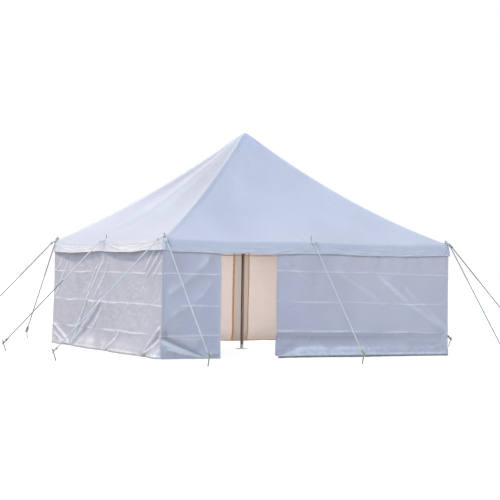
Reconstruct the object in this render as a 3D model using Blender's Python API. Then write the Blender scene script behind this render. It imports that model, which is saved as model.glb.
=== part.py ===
"""Square peg-and-pole marquee tent, 6 m by 6 m.

A white fabric pyramid roof on one centre pole and eight eave poles, with a
hanging valance, curtain walls parted at a doorway, and twelve guy ropes run
out to ground stakes.

Metres, +Z up. The origin is on the ground under the centre pole. The side
with the doorway, called the front, faces -Y, and left is -X.
"""

from math import atan, copysign, cos, pi, radians, sin, sqrt, tan

import bmesh
import bpy
from mathutils import Matrix, Vector

# Driving sizes of the tent
HALF_SIDE = 3.0
EAVE_HEIGHT = 2.15
PEAK_HEIGHT = 4.387
CLOTH = 0.006
GAP = 0.0003

# Form of the roof
TIP_ROUNDING = 0.014
FACE_SAG = 0.075
EAVE_SAG = 0.022
HIP_SAG = {"front_left": 0.062, "front_right": 0.085, "back_right": 0.066, "back_left": 0.048}
ROOF_ROWS = [0.012, 0.03, 0.06, 0.11, 0.2, 0.32, 0.46, 0.6, 0.74, 0.87, 0.98, 1.0]
ROOF_COLUMNS = 8
CAP_REACH = 0.11
CAP_GAP = 0.0008

# Valance and walls
VALANCE_DROP = 0.222
VALANCE_FLARE = 0.03
WALL_FLARE = 0.035
WALL_FACE = HALF_SIDE - CLOTH - GAP
DOOR_LEFT = -1.85
DOOR_RIGHT = -0.74
BACK_OVERLAP = (1.17, 1.56)

# Poles
POLE_LINE = 2.958
EAVE_POLE_RADIUS = 0.02
SPIKE_RADIUS = 0.007
SPIKE_HOLE_RADIUS = 0.0095
SPIKE_ABOVE_EAVE = 0.117
SHORT_SPIKE_ABOVE_EAVE = 0.085
SHORT_SPIKES = ("front_right", "back_left")
CENTRE_POLE_RADIUS = 0.026
FOOT_SIDE = 0.2
FOOT_THICKNESS = 0.008
SOCKET_HEIGHT = 0.09
SOCKET_WALL = 0.004
HEAD_RADIUS = 0.062
HEAD_SKIRT = 0.05

# Guy ropes and ground stakes
ROPE_RADIUS = 0.007
ROPE_REACH = 2.0
EYE_CLEARANCE = 0.0005
SPIKE_EYE_SEATING = 0.0006
STAKE_EYE_SEATING = 0.0012
SECOND_EYE_RISE = 0.03
EYE_LENGTH = 0.15
STAKE_EYE_LENGTH = 0.075
KNOT_RADII = (0.03, 0.021, 0.018)
ROPE_HEIGHT_ON_STAKE = 0.16
STAKE_RADIUS = 0.011
STAKE_LEAN = radians(18)
STAKE_HEAD_RADIUS = 0.018
STAKE_HEAD_FROM = 0.2
STAKE_HEAD_TO = 0.21

SIDES = ("front", "right", "back", "left")
CORNERS = ("front_left", "front_right", "back_right", "back_left")
QUARTER_TURN = pi / 2

# Principled BSDF values: colour, roughness, metallic
FINISHES = {
    "roof_fabric": ((0.78, 0.82, 0.90), 0.55, 0.0),
    "wall_fabric": ((0.72, 0.75, 0.83), 0.6, 0.0),
    "pole_wood": ((0.23, 0.12, 0.06), 0.65, 0.0),
    "galvanised_steel": ((0.45, 0.46, 0.47), 0.4, 1.0),
    "rope_fibre": ((0.78, 0.79, 0.80), 0.8, 0.0),
}


def clear_scene():
    for item in list(bpy.data.objects):
        bpy.data.objects.remove(item, do_unlink=True)


def new_collection(name):
    collection = bpy.data.collections.new(name)
    bpy.context.scene.collection.children.link(collection)
    return collection


def make_materials():
    made = {}
    for name, (colour, roughness, metallic) in FINISHES.items():
        material = bpy.data.materials.new(name)
        material.use_nodes = True
        shader = material.node_tree.nodes["Principled BSDF"]
        shader.inputs["Base Color"].default_value = (*colour, 1.0)
        shader.inputs["Roughness"].default_value = roughness
        shader.inputs["Metallic"].default_value = metallic
        made[name] = material
    return made


def add_object(name, mesh, finish, turn=0.0, smooth=True):
    """Puts a mesh in the tent as one sub-part, turned about the centre pole."""
    piece = bpy.data.objects.new(name, mesh)
    tent.objects.link(piece)
    piece.rotation_euler.z = turn
    mesh.materials.clear()
    mesh.materials.append(materials[finish])
    if smooth:
        mesh.shade_smooth()
        mesh.set_sharp_from_angle(angle=radians(35))
    return piece


def mesh_from(bm, name):
    bmesh.ops.recalc_face_normals(bm, faces=bm.faces[:])
    mesh = bpy.data.meshes.new(name)
    bm.to_mesh(mesh)
    bm.free()
    return mesh


def sheet_solid(name, columns, rows, place):
    """A grid given a second layer and moved into shape: place(across, up, layer)."""
    bm = bmesh.new()
    bmesh.ops.create_grid(bm, x_segments=columns, y_segments=rows, size=0.5)
    made = bmesh.ops.extrude_face_region(bm, geom=bm.faces[:])
    second = {v for v in made["geom"] if isinstance(v, bmesh.types.BMVert)}
    for vert in bm.verts:
        layer = 1 if vert in second else 0
        vert.co = Vector(place(vert.co.x + 0.5, vert.co.y + 0.5, layer))
    return mesh_from(bm, name)


# Roof surface

def hip_height(ratio, corner):
    """Height of the roof's upper surface on a hip, where ratio is 0 at the tip and 1 at the eave."""
    span = sqrt(1 + TIP_ROUNDING ** 2) - TIP_ROUNDING
    run = (sqrt(ratio ** 2 + TIP_ROUNDING ** 2) - TIP_ROUNDING) / span
    peak = PEAK_HEIGHT - CLOTH - CAP_GAP
    return EAVE_HEIGHT + (peak - EAVE_HEIGHT) * (1 - run - 4 * HIP_SAG[corner] * run * (1 - run))


def roof_height(ratio, across, side):
    """Height of one roof panel, where across is -1 on its left hip and 1 on its right hip."""
    left, right = CORNERS[side], CORNERS[(side + 1) % 4]
    on_hips = (hip_height(ratio, left) * (1 - across) + hip_height(ratio, right) * (1 + across)) / 2
    belly = FACE_SAG * 6.75 * ratio ** 2 * (1 - ratio) * (1 - across ** 2)
    scallop = EAVE_SAG * ratio ** 4 * sin(pi * across) ** 2
    return on_hips - belly - scallop


def make_roof_panel(side):
    rows = len(ROOF_ROWS) - 1

    def place(across, up, layer):
        ratio = ROOF_ROWS[round(up * rows)]
        lateral = 2 * across - 1
        reach = HALF_SIDE * ratio
        return (lateral * (reach - GAP), -reach, roof_height(ratio, lateral, side) - layer * CLOTH)

    name = "roof_" + SIDES[side]
    piece = add_object(name, sheet_solid(name, ROOF_COLUMNS, rows, place), "roof_fabric",
                       side * QUARTER_TURN)
    cut_holes(piece, eyelets)
    return piece


def make_eyelet_cutters():
    """One upright cylinder through the roof at each eave pole's spike."""
    made = []
    for x, y in eave_pole_places().values():
        bm = bmesh.new()
        bmesh.ops.create_cone(bm, cap_ends=True, segments=12, radius1=SPIKE_HOLE_RADIUS,
                              radius2=SPIKE_HOLE_RADIUS, depth=0.4)
        cutter = bpy.data.objects.new("eyelet_cutter", mesh_from(bm, "eyelet_cutter"))
        cutters.objects.link(cutter)
        cutter.location = (x, y, EAVE_HEIGHT)
        cutter.hide_render = True
        cutter.display_type = "WIRE"
        made.append(cutter)
    return made


def cut_holes(piece, tools):
    for tool in tools:
        cut = piece.modifiers.new("eyelet", "BOOLEAN")
        cut.operation = "DIFFERENCE"
        cut.object = tool


def make_crown_cap():
    """Square reinforcing patch over the tip, its corners lying on the four hips."""
    rows = [0.0, 0.006] + [ratio for ratio in ROOF_ROWS if ratio <= CAP_REACH]
    bm = bmesh.new()
    around = 4 * ROOF_COLUMNS
    bmesh.ops.create_grid(bm, x_segments=around, y_segments=len(rows) - 1, size=0.5)
    for vert in bm.verts:
        step = round((vert.co.x + 0.5) * around) % around
        ratio = rows[round((vert.co.y + 0.5) * (len(rows) - 1))]
        side, column = divmod(step, ROOF_COLUMNS)
        lateral = 2 * column / ROOF_COLUMNS - 1
        flat = Vector((lateral * HALF_SIDE * ratio, -HALF_SIDE * ratio, 0))
        flat.rotate(Matrix.Rotation(side * QUARTER_TURN, 3, "Z"))
        vert.co = (flat.x, flat.y, roof_height(ratio, lateral, side) + CAP_GAP)
    bmesh.ops.remove_doubles(bm, verts=bm.verts[:], dist=0.00001)
    made = bmesh.ops.extrude_face_region(bm, geom=bm.faces[:])
    second = [v for v in made["geom"] if isinstance(v, bmesh.types.BMVert)]
    bmesh.ops.translate(bm, verts=second, vec=(0, 0, CLOTH))
    return add_object("crown_cap", mesh_from(bm, "crown_cap"), "roof_fabric")


# Valance and walls

def make_valance(side):
    """Strip that hangs from one eave and flares outward a little."""
    def place(across, up, layer):
        lateral = 2 * across - 1
        outward = HALF_SIDE + VALANCE_FLARE * (1 - up) - layer * CLOTH
        top = roof_height(1.0, lateral, side) - CLOTH - GAP
        bottom = EAVE_HEIGHT - VALANCE_DROP - EAVE_SAG * sin(pi * lateral) ** 2
        return (lateral * (outward - GAP), -outward, bottom + (top - bottom) * up)

    name = "valance_" + SIDES[side]
    return add_object(name, sheet_solid(name, ROOF_COLUMNS, 2, place), "roof_fabric",
                      side * QUARTER_TURN)


def faceted_roof_height(x, outward, side):
    """Height of the roof's upper surface between its last two rows of points, facets and all."""
    inner, outer = ROOF_ROWS[-2:]
    down = (outward / HALF_SIDE - inner) / (outer - inner)
    column = (x / outward + 1) * ROOF_COLUMNS / 2
    left = max(0, min(int(column), ROOF_COLUMNS - 1))
    heights = []
    for across in (2 * left / ROOF_COLUMNS - 1, 2 * (left + 1) / ROOF_COLUMNS - 1):
        heights.append((1 - down) * roof_height(inner, across, side)
                       + down * roof_height(outer, across, side))
    return heights[0] + (heights[1] - heights[0]) * (column - left)


def make_wall(name, side, start, end, layer_in=0):
    """Curtain from start to end along a side; layer_in hangs it behind its neighbour's cloth."""
    top_outward = WALL_FACE - layer_in * (CLOTH + GAP)
    roof_folds = [(2 * step / ROOF_COLUMNS - 1) * HALF_SIDE for step in range(ROOF_COLUMNS + 1)]
    stations = [start] + [x for x in roof_folds if start < x < end] + [end]
    columns = len(stations) - 1

    def place(across, up, layer):
        outward = top_outward + WALL_FLARE * (1 - up) ** 2 - layer * CLOTH
        x = stations[round(across * columns)]
        if abs(x) == HALF_SIDE:
            x = copysign(outward - GAP, x)
        x_at_top = max(-top_outward, min(x, top_outward))
        top = faceted_roof_height(x_at_top, top_outward, side) - CLOTH - 2 * GAP
        return (x, -outward, top * up)

    return add_object(name, sheet_solid(name, columns, 5, place), "wall_fabric",
                      side * QUARTER_TURN)


def make_walls():
    corner = HALF_SIDE
    make_wall("wall_front_left", 0, -corner, DOOR_LEFT)
    make_wall("wall_front_right", 0, DOOR_RIGHT, corner)
    make_wall("wall_right", 1, -corner, corner)
    make_wall("wall_left", 3, -corner, corner)
    # The back side is turned half round, so what is on its right lies at negative places along it
    make_wall("wall_back_left", 2, -BACK_OVERLAP[1], corner)
    make_wall("wall_back_right", 2, -corner, -BACK_OVERLAP[0], layer_in=1)


# Poles

def eave_pole_places():
    """Name and plan position of the eight eave poles: the corners and the middle of each side."""
    edge = POLE_LINE
    return {
        "front_left": (-edge, -edge),
        "front_middle": (0, -edge),
        "front_right": (edge, -edge),
        "right_middle": (edge, 0),
        "back_right": (edge, edge),
        "back_middle": (0, edge),
        "back_left": (-edge, edge),
        "left_middle": (-edge, 0),
    }


def turned_solid(name, profile, finish, segments=16):
    """A profile of (radius, height) points, outer side first from the top, spun about Z."""
    bm = bmesh.new()
    verts = [bm.verts.new((radius, 0, height)) for radius, height in profile]
    for first, second in zip(verts, verts[1:]):
        bm.edges.new((first, second))
    bmesh.ops.spin(bm, geom=bm.verts[:] + bm.edges[:], cent=(0, 0, 0), axis=(0, 0, 1),
                   angle=2 * pi, steps=segments)
    bmesh.ops.remove_doubles(bm, verts=bm.verts[:], dist=0.00001)
    return add_object(name, mesh_from(bm, name), finish)


def underside_of_roof(ratio, side=0, across=0.0):
    return roof_height(ratio, across, side) - CLOTH


def make_eave_poles():
    """Wooden poles that end just under the roof, each with a steel spike through its eyelet."""
    outer_ratio = (POLE_LINE + EAVE_POLE_RADIUS) / HALF_SIDE
    for name, (x, y) in eave_pole_places().items():
        corner = name in CORNERS
        tip = EAVE_HEIGHT + (SHORT_SPIKE_ABOVE_EAVE if name in SHORT_SPIKES else SPIKE_ABOVE_EAVE)
        side = CORNERS.index(name) if corner else SIDES.index(name.split("_")[0])
        across = -1.0 if corner else 0.0
        shoulder = underside_of_roof(outer_ratio, side, across) - GAP
        profile = [
            (0, tip),
            (SPIKE_RADIUS * 0.6, tip - 0.004),
            (SPIKE_RADIUS, tip - 0.012),
            (SPIKE_RADIUS, shoulder),
            (EAVE_POLE_RADIUS, shoulder),
            (EAVE_POLE_RADIUS, 0),
            (0, 0),
        ]
        pole = turned_solid("eave_pole_" + name, profile, "pole_wood")
        pole.location = (x, y, 0)


def make_centre_pole():
    """Tall pole in a steel foot, with a turned head that carries the tip of the roof."""
    inner = HALF_SIDE * ROOF_ROWS[0]
    next_out = HALF_SIDE * ROOF_ROWS[1]
    height_inner = underside_of_roof(ROOF_ROWS[0])
    height_next = underside_of_roof(ROOF_ROWS[1])
    slope = (height_next - height_inner) / (next_out - inner)
    head_edge = height_inner + slope * (HEAD_RADIUS - inner) - 2 * GAP
    plug = inner - 0.004
    head_bottom = head_edge - HEAD_SKIRT
    head_top = hip_height(0.006, "back_right") - 2 * GAP - FACE_SAG * 0.001
    head = [
        (0, head_top),
        (plug * 0.5, head_top - 0.002),
        (plug, height_inner - 2 * GAP),
        (inner, height_inner - 2 * GAP),
        (HEAD_RADIUS, head_edge),
        (HEAD_RADIUS, head_edge - 0.012),
        (CENTRE_POLE_RADIUS + 0.006, head_bottom),
        (0, head_bottom),
    ]
    turned_solid("centre_pole_head", head, "galvanised_steel", segments=24)
    turned_solid("centre_pole", [
        (0, head_bottom - GAP),
        (CENTRE_POLE_RADIUS, head_bottom - GAP),
        (CENTRE_POLE_RADIUS, FOOT_THICKNESS + GAP),
        (0, FOOT_THICKNESS + GAP),
    ], "pole_wood", segments=24)
    make_pole_foot()


def make_pole_foot():
    """Square plate with a round socket standing on it."""
    bm = bmesh.new()
    plate = Matrix.Translation((0, 0, FOOT_THICKNESS / 2)) @ Matrix.Diagonal(
        (FOOT_SIDE, FOOT_SIDE, FOOT_THICKNESS, 1))
    bmesh.ops.create_cube(bm, size=1.0, matrix=plate)
    foot = add_object("centre_pole_foot", mesh_from(bm, "centre_pole_foot"), "galvanised_steel",
                      smooth=False)
    bore = CENTRE_POLE_RADIUS + GAP * 2
    top = FOOT_THICKNESS + SOCKET_HEIGHT
    socket = turned_solid("pole_socket", [
        (bore, top),
        (bore + SOCKET_WALL, top),
        (bore + SOCKET_WALL, FOOT_THICKNESS / 2),
        (bore, FOOT_THICKNESS / 2),
        (bore, top),
    ], "galvanised_steel", segments=24)
    join_solids(foot, [socket])


def join_solids(body, others):
    """Fuses the others into body with Boolean unions and removes them."""
    for other in others:
        union = body.modifiers.new("join", "BOOLEAN")
        union.operation = "UNION"
        union.object = other
    bpy.context.view_layer.update()
    graph = bpy.context.evaluated_depsgraph_get()
    mesh = bpy.data.meshes.new_from_object(body.evaluated_get(graph))
    body.modifiers.clear()
    body.data = mesh
    for other in others:
        bpy.data.objects.remove(other, do_unlink=True)


# Guy ropes and stakes

def tube(name, points, radius):
    """A round cord through the points, as a closed mesh with its ends capped."""
    curve = bpy.data.curves.new(name, "CURVE")
    curve.dimensions = "3D"
    curve.bevel_depth = radius
    curve.bevel_resolution = 2
    curve.use_fill_caps = True
    spline = curve.splines.new("POLY")
    spline.points.add(len(points) - 1)
    for point, place in zip(spline.points, points):
        point.co = (*place, 1.0)
    drawn = bpy.data.objects.new(name, curve)
    tent.objects.link(drawn)
    bpy.context.view_layer.update()
    graph = bpy.context.evaluated_depsgraph_get()
    mesh = bpy.data.meshes.new_from_object(drawn.evaluated_get(graph))
    bpy.data.objects.remove(drawn, do_unlink=True)
    bm = bmesh.new()
    bm.from_mesh(mesh)
    bmesh.ops.remove_doubles(bm, verts=bm.verts[:], dist=0.00001)
    return add_object(name, mesh_from(bm, name), "rope_fibre")


def knot(name, centre, along):
    """An egg-shaped hitch on the rope, its long axis along the rope."""
    bm = bmesh.new()
    bmesh.ops.create_uvsphere(bm, u_segments=9, v_segments=6, radius=1.0)
    bmesh.ops.rotate(bm, verts=bm.verts[:], matrix=Matrix.Rotation(0.13, 3, "Z"))
    bmesh.ops.scale(bm, verts=bm.verts[:], vec=(KNOT_RADII[1], KNOT_RADII[2], KNOT_RADII[0]))
    turn = along.to_track_quat("Z", "X").to_matrix().to_4x4()
    bmesh.ops.transform(bm, verts=bm.verts[:], matrix=Matrix.Translation(centre) @ turn)
    return add_object(name, mesh_from(bm, name), "rope_fibre")


def rope_path(spike, down_roof, upper_knot, stake, lower_knot):
    """Round the spike, down to the stake and round that, with both ends inside the knots."""
    across = Vector((1, 0, 0))
    beside = across * ROPE_RADIUS * 1.12
    leg = (lower_knot - upper_knot).normalized()
    spike_eye = eye_radius(SPIKE_RADIUS, atan(down_roof.z / down_roof.y))
    stake_eye = eye_radius(STAKE_RADIUS, atan(leg.z / leg.y) - STAKE_LEAN)
    points = [upper_knot - down_roof * 0.006 + beside]
    seated = spike + down_roof * SPIKE_EYE_SEATING
    points += half_turn(seated, across * spike_eye, -down_roof * spike_eye)
    points += [upper_knot - beside, upper_knot + leg * 0.02]
    points += [lower_knot - leg * 0.02, lower_knot - beside]
    points += half_turn(stake - leg * STAKE_EYE_SEATING, -across * stake_eye, leg * stake_eye)
    points.append(lower_knot + leg * 0.006 + beside)
    return points


def half_turn(centre, start, middle):
    """Points round a half circle from centre + start, past centre + middle, to centre - start."""
    steps = 7
    return [centre + start * cos(pi * i / steps) + middle * sin(pi * i / steps)
            for i in range(steps + 1)]


def eye_radius(post_radius, tilt):
    """Radius of the rope's centre line round a post, where tilt is its angle off square to it."""
    return (post_radius + ROPE_RADIUS) / cos(tilt) / cos(pi / 14) + EYE_CLEARANCE


def make_guy_rope(side, place, lateral, level):
    """One rope of a side, from the spike of its pole out to its stake."""
    ratio = POLE_LINE / HALF_SIDE
    across = lateral / POLE_LINE
    at_spike = roof_height(ratio, across, side)
    uphill = roof_height(0.96, across, side)
    pitch = atan((uphill - at_spike) / (HALF_SIDE * (ratio - 0.96)))
    lift = (ROPE_RADIUS + 3 * EYE_CLEARANCE) / cos(pitch) + level * SECOND_EYE_RISE
    spike = Vector((lateral, -POLE_LINE, at_spike + lift))
    down_roof = Vector((0, -cos(pitch), -sin(pitch)))
    upper_knot = spike + down_roof * EYE_LENGTH
    stake = Vector((lateral, -(HALF_SIDE + ROPE_REACH), ROPE_HEIGHT_ON_STAKE))
    leg = (stake - upper_knot).normalized()
    lower_knot = stake - leg * STAKE_EYE_LENGTH

    path = rope_path(spike, down_roof, upper_knot, stake, lower_knot)
    rope = tube("guy_rope_" + place, path, ROPE_RADIUS)
    join_solids(rope, [knot("upper_knot", upper_knot, leg), knot("lower_knot", lower_knot, leg)])
    rope.rotation_euler.z = side * QUARTER_TURN
    return rope


def make_stake(side, place, lateral):
    """Round steel bar that leans away from the tent, with a mushroomed head, from the ground up."""
    profile = [
        (0, STAKE_HEAD_TO),
        (STAKE_HEAD_RADIUS * 0.8, STAKE_HEAD_TO),
        (STAKE_HEAD_RADIUS, (STAKE_HEAD_FROM + STAKE_HEAD_TO) / 2),
        (STAKE_RADIUS, STAKE_HEAD_FROM),
        (STAKE_RADIUS, 0),
        (0, 0),
    ]
    stake = turned_solid("ground_stake_" + place, profile, "galvanised_steel", segments=12)
    for vert in stake.data.vertices:
        vert.co.y -= (vert.co.z - ROPE_HEIGHT_ON_STAKE) * tan(STAKE_LEAN)
        vert.co.y -= HALF_SIDE + ROPE_REACH
        vert.co.x += lateral
    stake.rotation_euler.z = side * QUARTER_TURN
    return stake


def make_guys():
    """Three ropes and stakes on each side; at a corner the ropes of two sides share a spike."""
    for side, side_name in enumerate(SIDES):
        left = CORNERS[side].replace(side_name, "").strip("_")
        right = CORNERS[(side + 1) % 4].replace(side_name, "").strip("_")
        for end, lateral, level in ((left, -POLE_LINE, 0), ("middle", 0, 0), (right, POLE_LINE, 1)):
            place = side_name + "_" + end
            make_guy_rope(side, place, lateral, level)
            make_stake(side, place, lateral)


clear_scene()
tent = new_collection("marquee_tent")
cutters = new_collection("cutters")
materials = make_materials()
eyelets = make_eyelet_cutters()
for side_number in range(len(SIDES)):
    make_roof_panel(side_number)
    make_valance(side_number)
make_crown_cap()
make_walls()
make_eave_poles()
make_centre_pole()
make_guys()
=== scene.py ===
"""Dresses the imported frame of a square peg-and-pole marquee tent.

The frame is in metres with the origin on the ground under the centre pole. The side with the
doorway, called the front, faces -Y, and left is -X. Each operator makes one piece or one group of
like pieces, and the panel lists them in the order they run.

A place on a side of the tent is given as x along that side, seen from outside from left to right,
and z above the ground. SIDES gives the quarter turns from the front.
"""

import math
from collections import namedtuple

import bmesh
import bpy
import numpy as np
from bpy.props import FloatProperty, FloatVectorProperty, IntProperty, PointerProperty
from bpy.types import Operator, Panel, PropertyGroup
from mathutils import Matrix, Vector


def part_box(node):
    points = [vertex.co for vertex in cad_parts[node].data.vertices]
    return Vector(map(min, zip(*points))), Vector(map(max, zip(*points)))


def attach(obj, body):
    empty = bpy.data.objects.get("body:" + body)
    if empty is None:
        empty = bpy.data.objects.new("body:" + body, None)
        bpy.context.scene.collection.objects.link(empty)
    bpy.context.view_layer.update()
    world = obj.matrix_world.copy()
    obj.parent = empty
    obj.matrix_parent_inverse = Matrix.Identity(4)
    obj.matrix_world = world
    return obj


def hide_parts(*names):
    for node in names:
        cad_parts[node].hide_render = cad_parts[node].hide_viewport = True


bl_info = {
    "name": "Marquee Tent",
    "version": (1, 0, 0),
    "blender": (4, 5, 0),
    "location": "3D View > Sidebar > Marquee",
    "description": "Cloth, poles, guy ropes and stakes of a square marquee tent",
    "category": "Object",
}

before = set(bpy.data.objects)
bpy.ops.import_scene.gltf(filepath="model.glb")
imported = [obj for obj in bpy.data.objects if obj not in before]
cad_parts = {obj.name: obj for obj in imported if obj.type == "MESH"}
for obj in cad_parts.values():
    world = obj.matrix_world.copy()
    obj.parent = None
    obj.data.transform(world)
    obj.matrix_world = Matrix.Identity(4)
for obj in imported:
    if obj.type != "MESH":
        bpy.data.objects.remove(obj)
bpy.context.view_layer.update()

SIDES = ("front", "right", "back", "left")
CORNERS = ("front_left", "front_right", "back_right", "back_left")
POLES = ("front_left", "front_middle", "front_right", "right_middle",
         "back_right", "back_middle", "back_left", "left_middle")


def side_ends(side):
    """Names of a side's left and right ends, as they stand in the names of its corners."""
    return tuple(CORNERS[(side + step) % 4].replace(SIDES[side], "").strip("_") for step in (0, 1))


ROPE_PLACES = [(SIDES[side], end) for side in range(4)
               for end in (side_ends(side)[0], "middle", side_ends(side)[1])]

# How far each hip hangs below a straight line, as a share of the roof's rise.
HIP_SAG = {"front_left": 0.062, "front_right": 0.085, "back_right": 0.066, "back_left": 0.048}

# Settings of each side, in the order of SIDES. Depths of the roof are in metres, and the rest are
# factors on the sizes below.
MIDDLE_RIDGE = (0.0, 0.012, 0.012, 0.020)
MIDDLE_LOBES = (0.0, 0.3, 0.3, 0.35)
ROOF_RAYS = (0.0012, 0.004, 0.004, 0.011)
VALANCE_SWAGS = (0.45, 0.45, 0.45, 1.0)
VALANCE_BILLOW = (0.5, 0.5, 0.5, 5.0)
FOLD_DEPTH = (1.5, 1.3, 1.3, 2.3)
FOLD_SHARPNESS = (0.12, 0.4, 0.4, 0.6)
FOLD_WIDTH = (1.2, 1.4, 1.4, 1.7)
# How strongly fold highlights and hollow shade are painted on each side's curtains.
PAINTED_FOLD_SHADING = (0.5, 0.7, 0.7, 1.0)
CREASE_DEPTH = (1.0, 1.0, 0.3, 1.0)
CRUMPLE_DEPTH = (1.3, 1.5, 1.5, 2.0)

# Lengths and heights in metres, and the lean of the stakes as an angle.
LEFT_VALANCE_LIFT = 0.032
STORAGE_CREASES = (0.42, 0.96, 1.53)
LEVELS_TOP = 2.12
TAPE_LEVELS = (1.915, 1.935)
FOOT_TAPE_TOP = 0.0215
HALF_TAPE = 0.012
SPIKE_LINE = 2.958
SPIKE_RADIUS = 0.007
STAKE_RADIUS = 0.011
STAKE_LEAN = math.radians(18)
STAKE_EYE_HEIGHT = 0.16
EYE_GAP = 0.0006
EYE_STACK = 0.03
UPPER_KNOT_RUN = 0.15
LOWER_KNOT_RUN = 0.075
KNOT_RADIUS = 0.0165
KNOT_CORD_RADIUS = 0.0055
KING_POLE_RADIUS = 0.0300
KING_POLE_TENON = 0.0255
CROWN_LIFT = 0.0030
CROWN_THICKNESS = 0.0010
WALL_INSET = 0.0063
WALL_FLARE = 0.035
CORNER_FLARE_LOSS = 0.024
HEM_THICKNESS = 0.0018
SIDE_TUCK = 0.0032

# The crown patch's reach as a share of the roof's, the valance's seam as a share of the cloth's turn
# over the eave, and rows of points in a metre of cloth at the storage creases.
CROWN_REACH = 0.11
VALANCE_SEAM = 0.47
CREASE_ROWS_PER_METRE = 105

# How grey a rope's painted shade makes it, from 0 to 1. Ropes that aren't listed have the amount on
# the next line.
ROPE_SHADE_DEFAULT = 0.95
ROPE_PAINTED_SHADE = {("front", "left"): 0.14, ("front", "middle"): 0.28, ("left", "front"): 0.0,
                ("left", "middle"): 0.0}


def metres(name, description, default):
    return FloatProperty(name=name, description=description, default=default, unit="LENGTH")


def colour_of(name, description, default):
    return FloatVectorProperty(name=name, description=description, default=default,
                               subtype="COLOR", min=0, max=1)


class MarqueeSizes(PropertyGroup):
    """Sizes of the tent's cloth, poles and ropes."""

    half_side: metres("Half side", "From the centre pole to an eave", 3.0)
    eave_height: metres("Eave height", "Height of the roof's edge", 2.15)
    roof_peak: metres("Roof peak", "Height of the roof cloth's tip", 4.3802)
    face_sag: metres("Face sag", "How far a roof face hangs below its hips", 0.075)
    eave_sag: metres("Eave sag", "How far the eave hangs between poles", 0.022)
    hip_ridge: metres("Hip ridge", "How far a taut hip stands above the cloth", 0.019)
    shoulder_start: metres("Shoulder start", "From the centre pole to the roof's turn down", 2.945)
    shoulder_reach: metres("Shoulder reach", "From the centre pole to the upright cloth", 3.012)
    cloth_thickness: metres("Cloth thickness", "Thickness of the cloth", 0.002)
    valance_drop: metres("Valance drop", "Depth of the hanging valance", 0.222)
    valance_flare: metres("Valance flare", "How far its hem stands out", 0.03)
    hem_width: metres("Hem width", "Width of a sewn hem", 0.03)
    tape_width: metres("Tape width", "Width of the tape inside a back hem", 0.05)
    door_left: metres("Doorway left edge", "Its place along the front", -1.85)
    door_right: metres("Doorway right edge", "Its place along the front", -0.722)
    crease_height: metres("Crease height", "Height of the storage creases", 0.016)
    rope_radius: metres("Rope radius", "Radius of a guy rope", 0.0105)
    rope_lay: metres("Rope lay", "Length of one full turn of its strands", 0.06)
    rope_reach: metres("Rope reach", "From the eave to the stakes", 2.0)
    strand_count: IntProperty(name="Strands", description="Strands in a guy rope", default=3)


class MarqueeColours(PropertyGroup):
    """Colours of the tent's cloth, wood, steel and ropes."""

    cloth: colour_of("Cloth", "Outside of the roof", (0.78, 0.81, 0.91))
    wall_cloth: colour_of("Wall cloth", "Outside of the wall curtains", (0.68, 0.665, 0.74))
    # Its warm cream is partly the cloth's own colour and partly painted light, for sun shining through
    # the cloth.
    lining: colour_of("Cloth inside", "Inside of the cloth", (0.80, 0.774, 0.735))
    hem_tape: colour_of("Hem tape", "Tape sewn inside the hems", (0.56, 0.31, 0.13))
    wood: colour_of("Pole wood", "Stained wood of the poles", (0.11, 0.055, 0.040))
    steel: colour_of("Steel", "Dull galvanised steel", (0.42, 0.44, 0.46))
    rope: colour_of("Rope", "Off-white rope", (0.79, 0.795, 0.82))
    grass_stain: colour_of("Grass stain", "Stain near the ground", (0.42, 0.40, 0.20))


def sizes():
    return bpy.context.scene.marquee_sizes


def colours():
    return bpy.context.scene.marquee_colours


# Materials

SOIL = (0.36, 0.30, 0.22)
# Pale painted on the crests of folds as a highlight.
PAINTED_HIGHLIGHT = (0.98, 0.98, 0.99)
POLE_DIRT = (0.16, 0.13, 0.10)
RUST = (0.22, 0.10, 0.05)
# Dark slate painted on ropes as shade.
ROPE_SHADE_COLOUR = (0.17, 0.20, 0.25)


def feed(tree, node, inputs):
    """Gives a node its inputs, each as a value or as the socket that feeds it."""
    for key, value in inputs.items():
        if isinstance(value, bpy.types.NodeSocket):
            tree.links.new(value, node.inputs[key])
        else:
            node.inputs[key].default_value = value


def add_node(tree, kind, inputs=None, **settings):
    made = tree.nodes.new(kind)
    for key, value in settings.items():
        setattr(made, key, value)
    feed(tree, made, inputs or {})
    return made


def new_material(name):
    """An empty material: its tree, its Principled shader and its output."""
    material = bpy.data.materials.new(name)
    material.use_nodes = True
    tree = material.node_tree
    return material, tree, tree.nodes["Principled BSDF"], tree.nodes["Material Output"]


def rgba(colour, factor=1.0):
    """A colour scaled by a factor and held within 1, with its alpha."""
    return tuple(min(1.0, c * factor) for c in colour) + (1.0,)


def mix_colours(tree, amount, first, second):
    mixed = add_node(tree, "ShaderNodeMix", data_type="RGBA")
    feed(tree, mixed, {0: amount, 6: first, 7: second})
    return mixed.outputs[2]


def spread(tree, value, low, high, to_low=0.0, to_high=1.0):
    """A value's range low to high spread over to_low to to_high, and held at the ends."""
    made = add_node(tree, "ShaderNodeMapRange", {"Value": value, "From Min": low, "From Max": high,
                                                 "To Min": to_low, "To Max": to_high})
    return made.outputs["Result"]


def object_place(tree):
    return add_node(tree, "ShaderNodeTexCoord").outputs["Object"]


def part_of(tree, vector, axis):
    return add_node(tree, "ShaderNodeSeparateXYZ", {"Vector": vector}).outputs[axis]


def maths(tree, operation, *values):
    """The result of a sum, product or the like of one or two values or sockets."""
    return add_node(tree, "ShaderNodeMath", dict(enumerate(values)), operation=operation).outputs[0]


def noise_texture(tree, place, scale, detail, kind="FBM", **more):
    inputs = {"Vector": place, "Scale": scale, "Detail": detail, **more}
    return add_node(tree, "ShaderNodeTexNoise", inputs, noise_type=kind).outputs["Fac"]


def wave_texture(tree, place, scale, distortion, way):
    inputs = {"Vector": place, "Scale": scale, "Distortion": distortion}
    return add_node(tree, "ShaderNodeTexWave", inputs, bands_direction=way).outputs["Fac"]


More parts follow.
